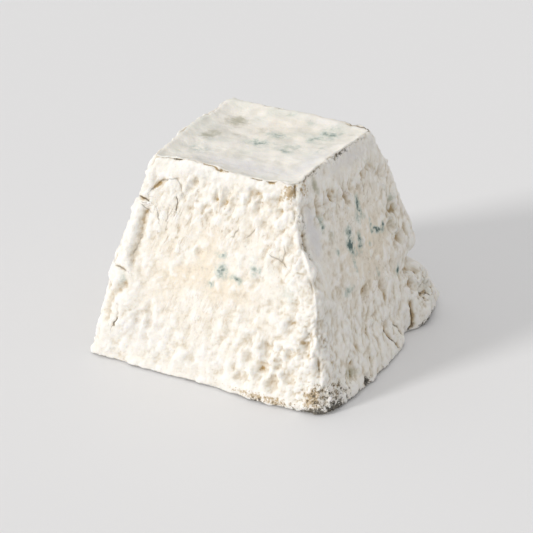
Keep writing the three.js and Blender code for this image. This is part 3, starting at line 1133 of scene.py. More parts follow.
@dataclass
class RindFields:
    """What the rind is like at each point: how far it stands out, its stains, its painted shade and its
    cracks.

    The relief and the dented depth are in mm. The hollow is above 0 where the rind is sunk below
    its surroundings and below 0 on crowns; the finish paints shade into the hollows and light onto
    the crowns by it. The crack side is the distance to the nearest crack in mm, with opposite signs
    on its two sides, and the crack dark is the painted shade in that crack. The others run from 0
    to 1, or higher where a stain is thick; the ash and shadow field holds the ash and the painted
    shadow along the foot. Felted is the share of the top's soft felt.
    """

    relief: Array
    hollow: Array
    cream: Array
    mould: Array
    ochre: Array
    ash_and_shadow: Array
    olive: Array
    chalk: Array
    combed: Array
    dented: Array
    felted: Array
    crack_side: Array
    crack_dark: Array

    @classmethod
    def empty(cls, count: int) -> "RindFields":
        """Makes fields of zeros, with every crack far away.

        Args:
            count: How many points they have.

        Returns:
            The fields.
        """
        fields = cls(*(np.zeros(count) for _ in range(len(cls.__annotations__))))
        fields.crack_side += NO_CRACK
        return fields


# The patches that lay each stain down, under the name of its field. The ash and the olive are
# partly painted shade.
STAINS: dict[str, tuple[Patch, ...]] = {
    "cream": CREAMY,
    "mould": MOULD,
    "olive": OLIVE,
    "ochre": OCHRE,
    "ash_and_shadow": ASH_AND_FOOT_SHADOW,
    "chalk": CHALKY,
    "combed": COMBED,
}

# The fields that the finish reads from the mesh.
PAINTED: tuple[str, ...] = ("hollow", "felted", "crack_side", "crack_dark", *STAINS)


@dataclass(frozen=True)
class RindRelief:
    """The rind's lumps, wrinkles, pits and cracks.

    Sizes and depths are in mm. A bend is the size of the bends that a pattern is given and how
    far they reach. Waves are layers of strength, pitch and seed. A level is taken off a pattern,
    so that it lifts about as much as it sinks. What is kept is the share of a pattern's depth
    that is left where the rind is smooth. The side gain deepens the leaning faces other than
    the front.
    """

    blend_power: float = 6.0
    own_share: float = 0.45
    slant: float = 0.2
    proud: float = 0.25
    side_gain: float = 1.28
    worm_pitch: float = 6.2
    worm_stretch: float = 0.62
    worm_fan: float = 1.15
    worm_base: float = 0.08
    worm_bend: Pair = (5.0, 1.3)
    worm_break_pitch: float = 3.6
    worm_level: float = 0.35
    pit_pitch: float = 4.4
    pit_tallness: float = 1.1
    pit_bend: Pair = (3.0, 0.7)
    pit_level: float = 0.2
    lobe_size: Pair = (4.4, 6.0)
    lobe_depth: float = 0.34
    lobe_kept: float = 0.4
    lobe_bend: Pair = (3.4, 0.8)
    billow_size: Pair = (4.6, 5.4)
    billow_depth: float = 0.62
    billow_kept: float = 0.35
    billow_level: float = 0.3
    lump_size: Pair = (3.8, 4.8)
    lump_depth: float = 0.17
    lump_depth_wrinkled: float = 0.35
    lump_bend: Pair = (2.6, 0.8)
    crumb_size: float = 1.45
    crumb_tallness: float = 1.25
    crumb_depth: float = 0.10
    crumb_depth_wrinkled: float = 0.12
    crumb_depth_crumbly: float = 0.4
    crumb_bend: Pair = (1.2, 0.4)
    patchy_pitch: float = 6.5
    patchy_least: float = 0.45
    patchy_more: float = 0.75
    soft_pitch: float = 9.0
    soft_tallness: float = 1.3
    soft_depth: float = 0.42
    streak_size: Pair = (2.6, 8.0)
    streak_depth: float = 0.14
    streak_bend: Pair = (4.0, 0.6)
    grain_pitch: float = 1.1
    grain_depth: float = 0.07
    top_pitch: float = 6.5
    top_depth: float = 0.42
    top_proud: float = 0.1
    felt_size: float = 3.8
    felt_depth: float = 0.09
    felt_bend: Pair = (2.5, 0.8)
    felt_patchy_pitch: float = 6.0
    under_pit_depth: float = 0.2
    under_soft_depth: float = 0.15
    under_ash: float = 0.6
    dent_scale: float = 1.3
    dent_gain: float = 1.6
    dent_bend: Pair = (1.8, 0.5)
    crack_bend: Pair = (1.4, 0.4)
    crack_reach: float = 3.0
    rim_reach: float = 4.0
    rim_fade: float = 0.6
    rim_shake: tuple[float, float, int] = (0.35, 3.0, 77)
    rim_corner: float = 0.35
    rim_least: float = 0.02
    groove_half: float = 0.5
    stain_half: float = 0.55
    edge_waves: tuple[tuple[float, float, int], ...] = ((0.45, 8.0, 71), (0.22, 3.8, 72), (0.10, 1.8, 73))
    edge_crumbs: tuple[tuple[float, float, int], ...] = ((0.7, 2.1, 74), (0.5, 1.4, 75))
    edge_gain: float = 2.2
    edge_crumb_depth: float = 0.22
    edge_crumb_most: float = 1.2
    wide_passes: int = 30
    close_passes: int = 5
    hollow_wide: float = 1.5
    hollow_close: float = 1.2
    hollow_dented: float = 0.42
    first_seed: int = 1000
    seed_step: int = 137

    def charts(self, points: Array, normals: Array) -> list[Chart]:
        """Lays each side out flat.

        Args:
            points: Points in mm.
            normals: Their unit directions.

        Returns:
            One chart a side. A point's share of a side is the cosine between its direction
            and the side's, to the blend power, over the sum of all sides.
        """
        shares = {side: np.clip(normals @ side.outward, 0.0, 1.0) ** self.blend_power for side in Side}
        total = sum(shares.values())
        charts = []
        for side in Side:
            up = points[:, 2] if side.leans else points[:, 1]
            charts.append(Chart(side, points @ side.along, up, shares[side] / total))
        return charts

    def slanted(self, chart: Chart, bend: Pair, seed: int) -> tuple[Array, Array]:
        """Leans a side's coordinates and bends them, as the wrinkles lie.

        Args:
            chart: The side.
            bend: The size of the bends and how far they reach, in mm.
            seed: Picks the bends.

        Returns:
            The bent coordinates in mm.
        """
        shift_u, shift_v = chart.shift(bend, seed)
        return chart.along - self.slant * chart.up + shift_u, chart.up + shift_v

    def wrinkles(self, chart: Chart, seed: int) -> Array:
        """Worm-like wrinkles: rounded lobes between broken creases.

        Args:
            chart: The side.
            seed: Picks the wrinkles.

        Returns:
            How far the rind has sunk, from 0 on a lobe to about 1 in a crease. A crease runs
            where crossing waves change sign, and fades in and out along its way. The waves'
            own sign, softened by a tanh, sets one side of each crease lower than the other.
        """
        u, v = self.slanted(chart, self.worm_bend, seed + 3)
        waves = crossing_waves(u, v * self.worm_stretch, self.worm_pitch, self.worm_fan, seed)
        broken = smooth_step(-0.35, 0.45, chart.noise(self.worm_break_pitch, seed + 9))
        crease = np.exp(-((np.abs(waves) / 0.45) ** 1.5)) * (0.25 + 0.75 * broken)
        return 0.8 * crease + 0.45 * (0.5 - 0.5 * np.tanh(1.2 * waves))

    def lumps(self, chart: Chart, seed: int) -> tuple[Array, Array]:
        """Curd-like lumps in two sizes, taller than wide.

        Args:
            chart: The side.
            seed: Picks the lumps.

        Returns:
            The coarse lumps and the crumbs, each from -1 in a crease to about 0.6 on a crown.
        """
        u, v = self.slanted(chart, self.lump_bend, seed + 5)
        coarse = curd_lumps(u / self.lump_size[0], v / self.lump_size[1], seed)
        u, v = self.slanted(chart, self.crumb_bend, seed + 15)
        fine = curd_lumps(u / self.crumb_size, v / (self.crumb_tallness * self.crumb_size), seed + 20)
        return coarse, fine

    def pits(self, chart: Chart, seed: int) -> Array:
        """Round pits with raised brims, in most cells of the side.

        Args:
            chart: The side.
            seed: Picks the pits.

        Returns:
            How far the rind has sunk: 1 at a pit's floor, and a little below 0 on its brim,
            a bell just outside it. A pit's radius is 0.40 to 0.66 of a cell by the cell's own
            number, and the cells of the lowest numbers have none.
        """
        bend_u, bend_v = self.slanted(chart, self.pit_bend, seed + 5)
        u, v = bend_u / self.pit_pitch, bend_v / (self.pit_tallness * self.pit_pitch)
        distance, _, number = nearest_seeds(u, v, seed)
        reach = distance / (0.40 + 0.26 * number)
        bowl = 1.0 - smooth_step(0.25, 1.0, reach)
        brim = np.exp(-(((reach - 1.15) / 0.22) ** 2))
        return (bowl - 0.3 * brim) * (number > 0.15)

    def dents(self, chart: Chart) -> Array:
        """Sinks the listed dents of a side, with a low brim round each.

        Args:
            chart: The side.

        Returns:
            How far the rind has sunk in mm, as gain * depth * (exp(-r^2) - 0.25 exp(-((r - 1.5)
            / 0.35)^2)), with r the distance in scaled half sizes. It is below 0 on a mound.
        """
        shift_u, shift_v = chart.shift(self.dent_bend, 301)
        u, v = chart.along + shift_u, chart.up + shift_v
        sunk = np.zeros(len(u))
        for dent in DENTS:
            if dent.side is chart.side:
                reach = np.hypot(*dent.offsets(u, v)) / self.dent_scale
                brim = 0.25 * np.exp(-(((reach - 1.5) / 0.35) ** 2))
                sunk += self.dent_gain * dent.strength * (np.exp(-(reach**2)) - brim)
        return sunk

    def crack_lines(self, chart: Chart, fields: RindFields) -> Array:
        """Sinks a groove along each crack of a side, and notes which crack is nearest.

        Args:
            chart: The side.
            fields: Gets the signed distance to the nearest crack and its darkness, the painted shade in
                it.

        Returns:
            How far the grooves sink the rind in mm, as depth * exp(-(distance / width)^2).
        """
        shift_u, shift_v = chart.shift(self.crack_bend, 401)
        u, v = chart.along + shift_u, chart.up + shift_v
        here = chart.share > self.own_share
        sunk = np.zeros(len(u))
        for crack in CRACKS:
            if crack.side is chart.side:
                signed = crack.signed_distance(u, v)
                distance = np.abs(signed)
                sunk = np.maximum(sunk, crack.depth * np.exp(-((distance / crack.width) ** 2)))
                closer = here & (distance < np.abs(fields.crack_side)) & (distance < self.crack_reach)
                fields.crack_side[closer] = signed[closer]
                fields.crack_dark[closer] = crack.dark
        return sunk

    def ground(self, chart: Chart, seed: int) -> Array:
        """Soft hummocks, upright streaks and fine grain, which lie all over a leaning face.

        Args:
            chart: The side.
            seed: Picks them.

        Returns:
            How far the rind stands out, in mm.
        """
        tall = self.soft_pitch * self.soft_tallness
        soft = layered_noise(chart.along / self.soft_pitch, chart.up / tall, seed + 60, 3)
        u, v = self.slanted(chart, self.streak_bend, seed + 70)
        streak = drift_noise(u / self.streak_size[0], v / self.streak_size[1], seed + 71)
        grain = chart.layers(self.grain_pitch, seed + 80, 2)
        return self.soft_depth * soft + self.streak_depth * streak + self.grain_depth * grain

    def leaning(self, chart: Chart, fields: RindFields, seed: int) -> None:
        """Adds a leaning face's relief to the fields, by its share of each point.

        Args:
            chart: The side.
            fields: Gets the relief, the dents and the cracks.
            seed: Picks the face's patterns.
        """
        rough = 1.0 - chart.cover(SMOOTH)
        lively = smooth_step(-0.5, 0.6, chart.noise(self.patchy_pitch, seed + 90))
        patchy = self.patchy_least + self.patchy_more * lively
        wrinkled, crumbly = chart.cover(WRINKLED), chart.cover(CRUMBLY)
        coarse, fine = self.lumps(chart, seed + 30)
        u, v = self.slanted(chart, self.lobe_bend, seed + 40)
        lobes = layered_noise(u / self.lobe_size[0], v / self.lobe_size[1], seed + 41, 3)
        billow = np.abs(layered_noise(u / self.billow_size[0], v / self.billow_size[1], seed + 44, 3))
        relief = self.ground(chart, seed)
        lobe_share = self.lobe_kept + (1.0 - self.lobe_kept) * rough
        relief += self.lobe_depth * lobe_share * patchy * lobes
        billow_share = self.billow_kept + (1.0 - self.billow_kept) * rough
        relief += self.billow_depth * billow_share * patchy * (billow - self.billow_level)
        relief += rough * patchy * (self.lump_depth + self.lump_depth_wrinkled * wrinkled) * coarse
        crumb_depth = self.crumb_depth * patchy + self.crumb_depth_wrinkled * wrinkled
        relief += rough * (crumb_depth + self.crumb_depth_crumbly * crumbly) * fine
        worms = self.wrinkles(chart, seed) - self.worm_level
        relief -= rough * (self.worm_base + wrinkled) * worms
        relief -= rough * chart.cover(PITTED) * (self.pits(chart, seed + 50) - self.pit_level)
        relief -= self.crack_lines(chart, fields)
        gain = 1.0 if chart.side is Side.FRONT else self.side_gain
        fields.relief += chart.share * (gain * relief + self.proud)
        fields.dented += chart.share * gain * self.dents(chart)

    def flat_top(self, chart: Chart, fields: RindFields, seed: int) -> None:
        """Adds the top's soft hummocks and felt-like crumbs.

        Args:
            chart: The top.
            fields: Gets the relief and the felt.
            seed: Picks the patterns.
        """
        shift_u, shift_v = chart.shift(self.felt_bend, seed + 5)
        u, v = chart.along + shift_u, chart.up + shift_v
        felt = curd_lumps(u / self.felt_size, v / self.felt_size, seed + 20)
        patchy = smooth_step(-0.3, 0.6, chart.noise(self.felt_patchy_pitch, seed + 30))
        relief = self.top_depth * chart.layers(self.top_pitch, seed, 2)
        relief += self.felt_depth * patchy * felt
        relief += 0.5 * self.grain_depth * chart.layers(self.grain_pitch, seed + 80, 2)
        fields.relief += chart.share * (relief + self.top_proud)
        fields.felted += chart.share

    def underside(self, chart: Chart, fields: RindFields, seed: int) -> None:
        """Adds shallow pits to the underside, none of them below the surface that it rests on.

        Args:
            chart: The underside.
            fields: Gets the relief and a thin coat of ash.
            seed: Picks the pits.
        """
        pit = np.clip(self.pits(chart, seed), 0.0, 1.0)
        soft = np.clip(chart.layers(self.soft_pitch, seed + 9, 2), 0.0, 1.0)
        fields.relief -= chart.share * (self.under_pit_depth * pit + self.under_soft_depth * soft)
        fields.ash_and_shadow += self.under_ash * chart.share

    def rim_lines(self, points: Array, rim: Array, fields: RindFields) -> None:
        """Parts the crust along the rim, with painted shade in the parting, and stains it.

        A groove and its stain are bells across the line, shaken by waves and faded at its ends.

        Args:
            points: Points of the settled cheese in mm.
            rim: How far each point lies inside the rim in mm, or below it where negative.
            fields: Gets the grooves, the cracks and the stains.
        """
        shake = summed_waves(points, (self.rim_shake,))
        near_corner = np.abs(points[:, 0]) + np.abs(points[:, 1])
        fade = self.rim_fade
        for line in RIM_LINES:
            along, out = points @ line.side.along, points @ line.side.outward
            here = (out > self.rim_corner * near_corner) & (np.abs(rim) < self.rim_reach)
            begun = smooth_step(line.start - fade, line.start + fade, along)
            ends = begun * (1.0 - smooth_step(line.end - fade, line.end + fade, along))
            offset = rim - line.inset + shake
            fields.relief -= line.depth * (here * ends * np.exp(-((offset / self.groove_half) ** 2)))
            stain = line.ochre * here * ends * np.exp(-((offset / self.stain_half) ** 2))
            fields.ochre = np.maximum(fields.ochre, stain)
            closer = here & (ends > self.rim_least) & (np.abs(offset) < np.abs(fields.crack_side))
            fields.crack_side[closer] = offset[closer]
            fields.crack_dark[closer] = line.dark * ends[closer]

    def edges(self, points: Array, charts: list[Chart], fields: RindFields) -> None:
        """Roughens the edges, where two sides share a point and their own reliefs cancel.

        Args:
            points: Points of the settled cheese in mm.
            charts: All sides.
            fields: Gets the relief.
        """
        most = np.max(np.stack([chart.share for chart in charts]), axis=0)
        under = charts[-1].share
        shared = np.clip(self.edge_gain * (1.0 - most), 0.0, 1.0) * (1.0 - under)
        lumpy = summed_waves(points, self.edge_waves)
        crumbly = sum(chart.share * chart.cover(CRUMBLY) for chart in charts)
        crumbs = np.abs(summed_waves(points, self.edge_crumbs))
        depth = self.edge_crumb_depth * np.minimum(crumbly, self.edge_crumb_most)
        fields.relief += shared * lumpy + depth * crumbs

    def fields(self, points: Array, normals: Array, rim: Array, grid: BlockGrid) -> RindFields:
        """Works out the whole rind.

        Args:
            points: Points of the settled cheese in mm.
            normals: Their unit directions.
            rim: How far each point lies inside the rim in mm, or below it where negative.
            grid: The grid that the points lie on.

        Returns:
            The relief and the stains at each point. The hollow weighs how far the point lies
            below its wide and its close surroundings, and how deep its dent is.
        """
        fields = RindFields.empty(len(points))
        charts = self.charts(points, normals)
        shape = {Side.TOP: self.flat_top, Side.UNDER: self.underside}
        for number, chart in enumerate(charts):
            add = shape.get(chart.side, self.leaning)
            add(chart, fields, self.first_seed + self.seed_step * number)
            for name, patches in STAINS.items():
                stain = getattr(fields, name)
                stain += chart.share * chart.cover(patches)
        self.edges(points, charts, fields)
        self.rim_lines(points, rim, fields)
        wide = grid.soften(fields.relief, self.wide_passes) - fields.relief
        close = grid.soften(fields.relief, self.close_passes) - fields.relief
        # The hollow drives the painted shade in creases, pits and dents and the painted light on crowns.
        fields.hollow = self.hollow_wide * wide + self.hollow_close * close
        fields.hollow += self.hollow_dented * fields.dented
        fields.relief -= fields.dented
        return fields


# ---------------------------------------------------------------------------------------------
# Finishes
# ---------------------------------------------------------------------------------------------

Colour = tuple[float, float, float]
Fade = tuple[float, float, float, float]
Socket = bpy.types.NodeSocket
Input = Socket | float | tuple[float, ...]


def linear(colour: Colour) -> tuple[float, float, float, float]:
    """Turns a screen colour into linear light.

    Args:
        colour: Red, green and blue from 0 to 255.

    Returns:
        Red, green and blue from 0 to 1, by the sRGB curve, and full cover.
    """
    shares = [value / 255.0 for value in colour]
    light = [share / 12.92 if share <= 0.04045 else ((share + 0.055) / 1.055) ** 2.4 for share in shares]
    return (light[0], light[1], light[2], 1.0)


def attribute_name(field_name: str) -> str:
    """The name of the mesh attribute that holds a field of the rind."""
    return f"rind_{field_name}"


class Graph:
    """A material's nodes, with short calls for the ones that this scene needs."""

    def __init__(self, material: bpy.types.Material) -> None:
        """Empties the material and gives it one Principled shader.

        Args:
            material: The material to fill.
        """
        material.use_nodes = True
        self.tree = material.node_tree
        self.tree.nodes.clear()
        output = self.add("ShaderNodeOutputMaterial")
        self.shader = self.add("ShaderNodeBsdfPrincipled")
        self.tree.links.new(self.shader.outputs["BSDF"], output.inputs["Surface"])
        self.place = self.add("ShaderNodeTexCoord").outputs["Object"]

    def add(self, kind: str) -> bpy.types.Node:
        """Adds a node of a kind."""
        return self.tree.nodes.new(kind)

    def feed(self, socket: Socket, value: Input) -> None:
        """Links or sets a socket.

        Args:
            socket: The input to feed.
            value: An output to link to it, or else the value to set it to.
        """
        if isinstance(value, Socket):
            self.tree.links.new(value, socket)
        else:
            socket.default_value = value

    def number(self, name: str) -> Socket:
        """Reads a number attribute of the mesh.

        Args:
            name: The attribute's name.

        Returns:
            Its value.
        """
        node = self.add("ShaderNodeAttribute")
        node.attribute_name = name
        return node.outputs["Fac"]

    def noise(
        self, size: float, detail: float = 3.0, rough: float = 0.55, warp: float = 0.0, other: float = 0.0
    ) -> Socket:
        """Noise on the object's own coordinates.

        Args:
            size: The size of its swells in mm.
            detail: How many finer layers it has.
            rough: How strong the finer layers are.
            warp: How much it is bent.
            other: Picks another noise of the same kind.

        Returns:
            Its value, about 0.5 on average.
        """
        node = self.add("ShaderNodeTexNoise")
        self.feed(node.inputs["Vector"], self.place)
        node.inputs["Scale"].default_value = 1.0 / (size * MM)
        node.inputs["Detail"].default_value = detail
        node.inputs["Roughness"].default_value = rough
        node.inputs["Distortion"].default_value = warp
        if other:
            node.noise_dimensions = "4D"
            node.inputs["W"].default_value = other
        return node.outputs[0]

    def comb(self, wide: float, tall: float, slant: float = 0.35) -> Socket:
        """Distance from thin slanted lines: the size of a noise drawn out up the sides.

        Args:
            wide: The lines' spacing in mm, about.
            tall: Their length in mm, about.
            slant: How far they lean for each step up.

        Returns:
            0 on the lines and more beside them.
        """
        split = self.add("ShaderNodeSeparateXYZ")
        self.feed(split.inputs[0], self.place)
        lean = self.math("MULTIPLY", split.outputs[2], slant)
        join = self.add("ShaderNodeCombineXYZ")
        self.feed(join.inputs[0], self.math("SUBTRACT", split.outputs[0], lean))
        self.feed(join.inputs[1], self.math("SUBTRACT", split.outputs[1], lean))
        self.feed(join.inputs[2], self.math("MULTIPLY", split.outputs[2], wide / tall))
        node = self.add("ShaderNodeTexNoise")
        self.feed(node.inputs["Vector"], join.outputs[0])
        node.inputs["Scale"].default_value = 0.5 / (wide * MM)
        node.inputs["Detail"].default_value = 1.0
        return self.math("ABSOLUTE", self.math("SUBTRACT", node.outputs[0], 0.5))

    def math(self, kind: str, first: Input, second: Input = 0.0, clamp: bool = False) -> Socket:
        """Does one sum on two numbers.

        Args:
            kind: The sum's name.
            first: The first number.
            second: The second number, where the sum takes one.
            clamp: Whether the result is held between 0 and 1.

        Returns:
            The result.
        """
        node = self.add("ShaderNodeMath")
        node.operation = kind
        node.use_clamp = clamp
        self.feed(node.inputs[0], first)
        self.feed(node.inputs[1], second)
        return node.outputs[0]

    def swing(self, noise: Socket, reach: Input) -> Socket:
        """Centres a noise on 0 and gives it a reach."""
        return self.math("MULTIPLY", self.math("SUBTRACT", noise, 0.5), reach)

    def ramp(self, value: Input, low: float, high: float, start: float = 0.0, end: float = 1.0) -> Socket:
        """A smooth step of a value.

        Args:
            value: The value to look up.
            low: Where the step starts.
            high: Where the step ends.
            start: The result at low and below it.
            end: The result at high and above it.

        Returns:
            The step.
        """
        node = self.add("ShaderNodeMapRange")
        node.interpolation_type = "SMOOTHSTEP"
        self.feed(node.inputs["Value"], value)
        node.inputs["From Min"].default_value = low
        node.inputs["From Max"].default_value = high
        node.inputs["To Min"].default_value = start
        node.inputs["To Max"].default_value = end
        return node.outputs[0]

    def blend(self, share: Input, first: Input, second: Input) -> Socket:
        """Mixes two colours.

        Args:
            share: The second colour's share, from 0 to 1.
            first: The first colour.
            second: The second colour.

        Returns:
            The mixed colour.
        """
        node = self.add("ShaderNodeMix")
        node.data_type = "RGBA"
        self.feed(node.inputs[0], share)
        self.feed(node.inputs[6], first)
        self.feed(node.inputs[7], second)
        return node.outputs[2]

    def bump(self, height: Input, depth: float, strength: Input, base: Socket | None = None) -> Socket:
        """Adds a bump.

        Args:
            height: The height, in shares of the depth.
            depth: The bump's depth in mm.
            strength: How strong it is, from 0 to 1.
            base: A bump that this one lies on, if there is one.

        Returns:
            The bumped direction.
        """
        node = self.add("ShaderNodeBump")
        node.inputs["Distance"].default_value = depth * MM
        self.feed(node.inputs["Strength"], strength)
        self.feed(node.inputs["Height"], height)
        if base is not None:
            self.feed(node.inputs["Normal"], base)
        return node.outputs[0]


class RindInputs:
    """What the rind's layers read: the painted fields, and the noises that break them up."""

    def __init__(self, graph: Graph) -> None:
        """Makes each input once, so that all layers share it.

        Args:
            graph: The material's graph.
        """
        self.field = {name: graph.number(attribute_name(name)) for name in PAINTED}
        self.broad = graph.noise(size=9.0, detail=3.0)
        self.mottle = graph.noise(size=2.4, detail=4.0, rough=0.6, warp=0.4)
        self.speck = graph.noise(size=1.0, detail=3.0, rough=0.75)
        self.flour = graph.noise(size=0.7, detail=2.0, rough=0.7)
        self.cloud = graph.noise(size=6.5, detail=2.0, rough=0.45, warp=0.6)
        self.drift = graph.noise(size=8.5, detail=2.0, rough=0.45, warp=0.6, other=31.0)
        self.grain = graph.noise(size=1.0, detail=3.0, rough=0.65)
        line = graph.ramp(graph.comb(wide=0.6, tall=3.2), 0.0, 0.06, 1.0, 0.0)
        broken = graph.math("MULTIPLY", line, graph.ramp(self.mottle, 0.45, 0.62))
        self.stroke = graph.math("MULTIPLY", broken, self.field["combed"])


@dataclass(frozen=True)
class RindFinish:
    """The floury, mottled rind.

    Colours are screen colours. A fade gives two values of what a layer reads, and its result at
    each. A swing is how far noise shifts a layer's edge. The glow is the light that soaks into
    the paste. Depths are in mm, and the strokes' cut is a share of the grain's.
    """

    bloom: Colour = (238, 234, 226)
    bloom_grey: Colour = (229, 226, 219)
    grey_fade: Fade = (0.38, 0.68, 0.0, 1.0)
    cream: Colour = (234, 223, 205)
    cream_fade: Fade = (0.30, 0.60, 0.0, 1.0)
    # The crown colour is painted light on the raised relief.
    crown: Colour = (243, 241, 237)
    crown_fade: Fade = (-0.45, 0.0, 0.75, 0.0)
    felt_grey: Colour = (213, 210, 200)
    felt_grey_fade: Fade = (0.49, 0.66, 0.0, 1.0)
    felt_grey_share: float = 0.4
    felt_green: Colour = (207, 213, 204)
    felt_green_fade: Fade = (0.52, 0.68, 0.0, 1.0)
    felt_green_share: float = 0.32
    # The crease colours are painted shade in the hollows; the darker one is partly a real brownish stain
    # of the deep creases.
    crease_pale: Colour = (213, 203, 186)
    crease_pale_fade: Fade = (0.0, 0.75, 0.0, 0.85)
    crease: Colour = (184, 161, 126)
    crease_fade: Fade = (0.7, 1.7, 0.0, 0.9)
    crease_swing_fade: Fade = (0.0, 1.0, 1.3, 0.15)
    stroke_share: float = 0.8
    chalk: Colour = (224, 222, 222)
    chalk_swing: float = 0.8
    chalk_fade: Fade = (0.2, 0.9, 0.0, 0.85)
    # The olive colour is partly painted shade in folds and hollows.
    olive: Colour = (146, 144, 116)
    olive_swing: float = 1.2
    olive_fade: Fade = (0.15, 0.85, 0.0, 0.6)
    mould_clump_fade: Fade = (0.32, 0.68, 0.35, 1.35)
    mould_swing: float = 1.2
    mould_pale: Colour = (190, 199, 190)
    mould_pale_fade: Fade = (0.06, 0.50, 0.0, 0.8)
    mould: Colour = (98, 116, 113)
    mould_fade: Fade = (0.36, 0.9, 0.0, 1.0)
    ochre: Colour = (172, 144, 94)
    ochre_swing: float = 2.0
    ochre_hollow_fade: Fade = (0.0, 1.5, 0.0, 0.35)
    ochre_fade: Fade = (0.50, 0.95, 0.0, 0.8)
    # The ash colours serve both the real ash and the painted shadow along the foot.
    ash_and_shadow: Colour = (54, 53, 52)
    ash_pale: Colour = (116, 111, 101)
    ash_tone_fade: Fade = (0.35, 0.62, 0.0, 1.0)
    ash_swing: float = 3.0
    ash_hollow_share: float = 0.2
    ash_fade: Fade = (0.55, 1.15, 0.0, 0.96)
    # The crack colour is painted shade in the cracks and partings.
    crack: Colour = (68, 55, 40)
    crack_fade: Fade = (0.05, 0.30, 1.0, 0.0)
    roughness_fade: Fade = (0.2, 0.8, 0.82, 1.0)
    specular: float = 0.25
    glow: float = 0.15
    glow_radius: Colour = (1.0, 0.8, 0.55)
    glow_depth: float = 1.0
    stroke_cut: float = 0.8
    grain_depth: float = 0.24
    grain_strength: Fade = (0.0, 1.0, 0.8, 0.3)
    flour_depth: float = 0.16
    flour_strength: Fade = (0.0, 1.0, 0.9, 0.4)

    def bloomed(self, graph: Graph, rind: RindInputs) -> Socket:
        """The bloom: white and grey, with creamy ground, crowns painted bright as painted light, and the
        top's soft felt.

        Args:
            graph: The material's graph.
            rind: What the layers read.

        Returns:
            The colour.
        """
        felted = rind.field["felted"]
        grey = graph.ramp(rind.broad, *self.grey_fade)
        colour = graph.blend(grey, linear(self.bloom), linear(self.bloom_grey))
        thin = graph.ramp(rind.broad, *self.cream_fade)
        creamy = graph.math("MULTIPLY", rind.field["cream"], thin, clamp=True)
        colour = graph.blend(creamy, colour, linear(self.cream))
        # Painted light: the crowns of the relief are painted lighter.
        crowned = graph.ramp(rind.field["hollow"], *self.crown_fade)
        colour = graph.blend(crowned, colour, linear(self.crown))
        cloudy = graph.math("MULTIPLY", graph.ramp(rind.cloud, *self.felt_grey_fade), felted)
        cloudy = graph.math("MULTIPLY", cloudy, self.felt_grey_share)
        colour = graph.blend(cloudy, colour, linear(self.felt_grey))
        greenish = graph.math("MULTIPLY", graph.ramp(rind.drift, *self.felt_green_fade), felted)
        greenish = graph.math("MULTIPLY", greenish, self.felt_green_share)
        return graph.blend(greenish, colour, linear(self.felt_green))

    def worn_and_shaded(self, graph: Graph, rind: RindInputs, colour: Socket) -> Socket:
        """Paints shade into the hollows, rubs the bloom off creases and strokes, and chalks it in places.

        Args:
            graph: The material's graph.
            rind: What the layers read.
            colour: The colour so far.

        Returns:
            The colour with these layers.
        """
        loose = graph.ramp(rind.field["felted"], *self.crease_swing_fade)
        # Painted shade: hollows turn pale grey-beige, then brownish where deep, partly a real stain of the
        # creases.
        rubbed_and_shaded = graph.math("ADD", rind.field["hollow"], graph.swing(rind.speck, loose))
        pale = graph.ramp(rubbed_and_shaded, *self.crease_pale_fade)
        colour = graph.blend(pale, colour, linear(self.crease_pale))
        colour = graph.blend(graph.ramp(rubbed_and_shaded, *self.crease_fade), colour, linear(self.crease))
        combed = graph.math("MULTIPLY", rind.stroke, self.stroke_share)
        colour = graph.blend(combed, colour, linear(self.crease))
        chalky = graph.math("ADD", rind.field["chalk"], graph.swing(rind.mottle, self.chalk_swing))
        return graph.blend(graph.ramp(chalky, *self.chalk_fade), colour, linear(self.chalk))

    def grown_and_shaded(self, graph: Graph, rind: RindInputs, colour: Socket) -> Socket:
        """Adds the olive tints, partly painted shade, and the blue-green mould, pale at its edges.

        Args:
            graph: The material's graph.
            rind: What the layers read.
            colour: The colour so far.

        Returns:
            The colour with these layers.
        """
        green = graph.math("ADD", rind.field["olive"], graph.swing(rind.mottle, self.olive_swing))
        colour = graph.blend(graph.ramp(green, *self.olive_fade), colour, linear(self.olive))
        clump = graph.ramp(rind.mottle, *self.mould_clump_fade)
        clump = graph.math("ADD", clump, graph.swing(rind.speck, self.mould_swing))
        spot = graph.math("MULTIPLY", rind.field["mould"], clump)
        colour = graph.blend(graph.ramp(spot, *self.mould_pale_fade), colour, linear(self.mould_pale))
        return graph.blend(graph.ramp(spot, *self.mould_fade), colour, linear(self.mould))

    def stained(self, graph: Graph, rind: RindInputs, colour: Socket) -> Socket:
        """Adds the ochre crumbs, the ash with the painted shadow along the foot, and the painted shade of
        the cracks.

        Args:
            graph: The material's graph.
            rind: What the layers read.
            colour: The colour so far.

        Returns:
            The colour with these layers.
        """
        hollow = rind.field["hollow"]
        crumbs = graph.math("ADD", rind.field["ochre"], graph.swing(rind.speck, self.ochre_swing))
        crumbs = graph.math("ADD", crumbs, graph.ramp(hollow, *self.ochre_hollow_fade))
        colour = graph.blend(graph.ramp(crumbs, *self.ochre_fade), colour, linear(self.ochre))
        soot = graph.math("ADD", rind.field["ash_and_shadow"], graph.swing(rind.speck, self.ash_swing))
        soot = graph.math("ADD", soot, graph.math("MULTIPLY", hollow, self.ash_hollow_share))
        tone = graph.ramp(rind.flour, *self.ash_tone_fade)
        ashen = graph.blend(tone, linear(self.ash_and_shadow), linear(self.ash_pale))
        colour = graph.blend(graph.ramp(soot, *self.ash_fade), colour, ashen)
        near = graph.ramp(graph.math("ABSOLUTE", rind.field["crack_side"]), *self.crack_fade)
        line = graph.math("MULTIPLY", near, rind.field["crack_dark"])
        return graph.blend(line, colour, linear(self.crack))

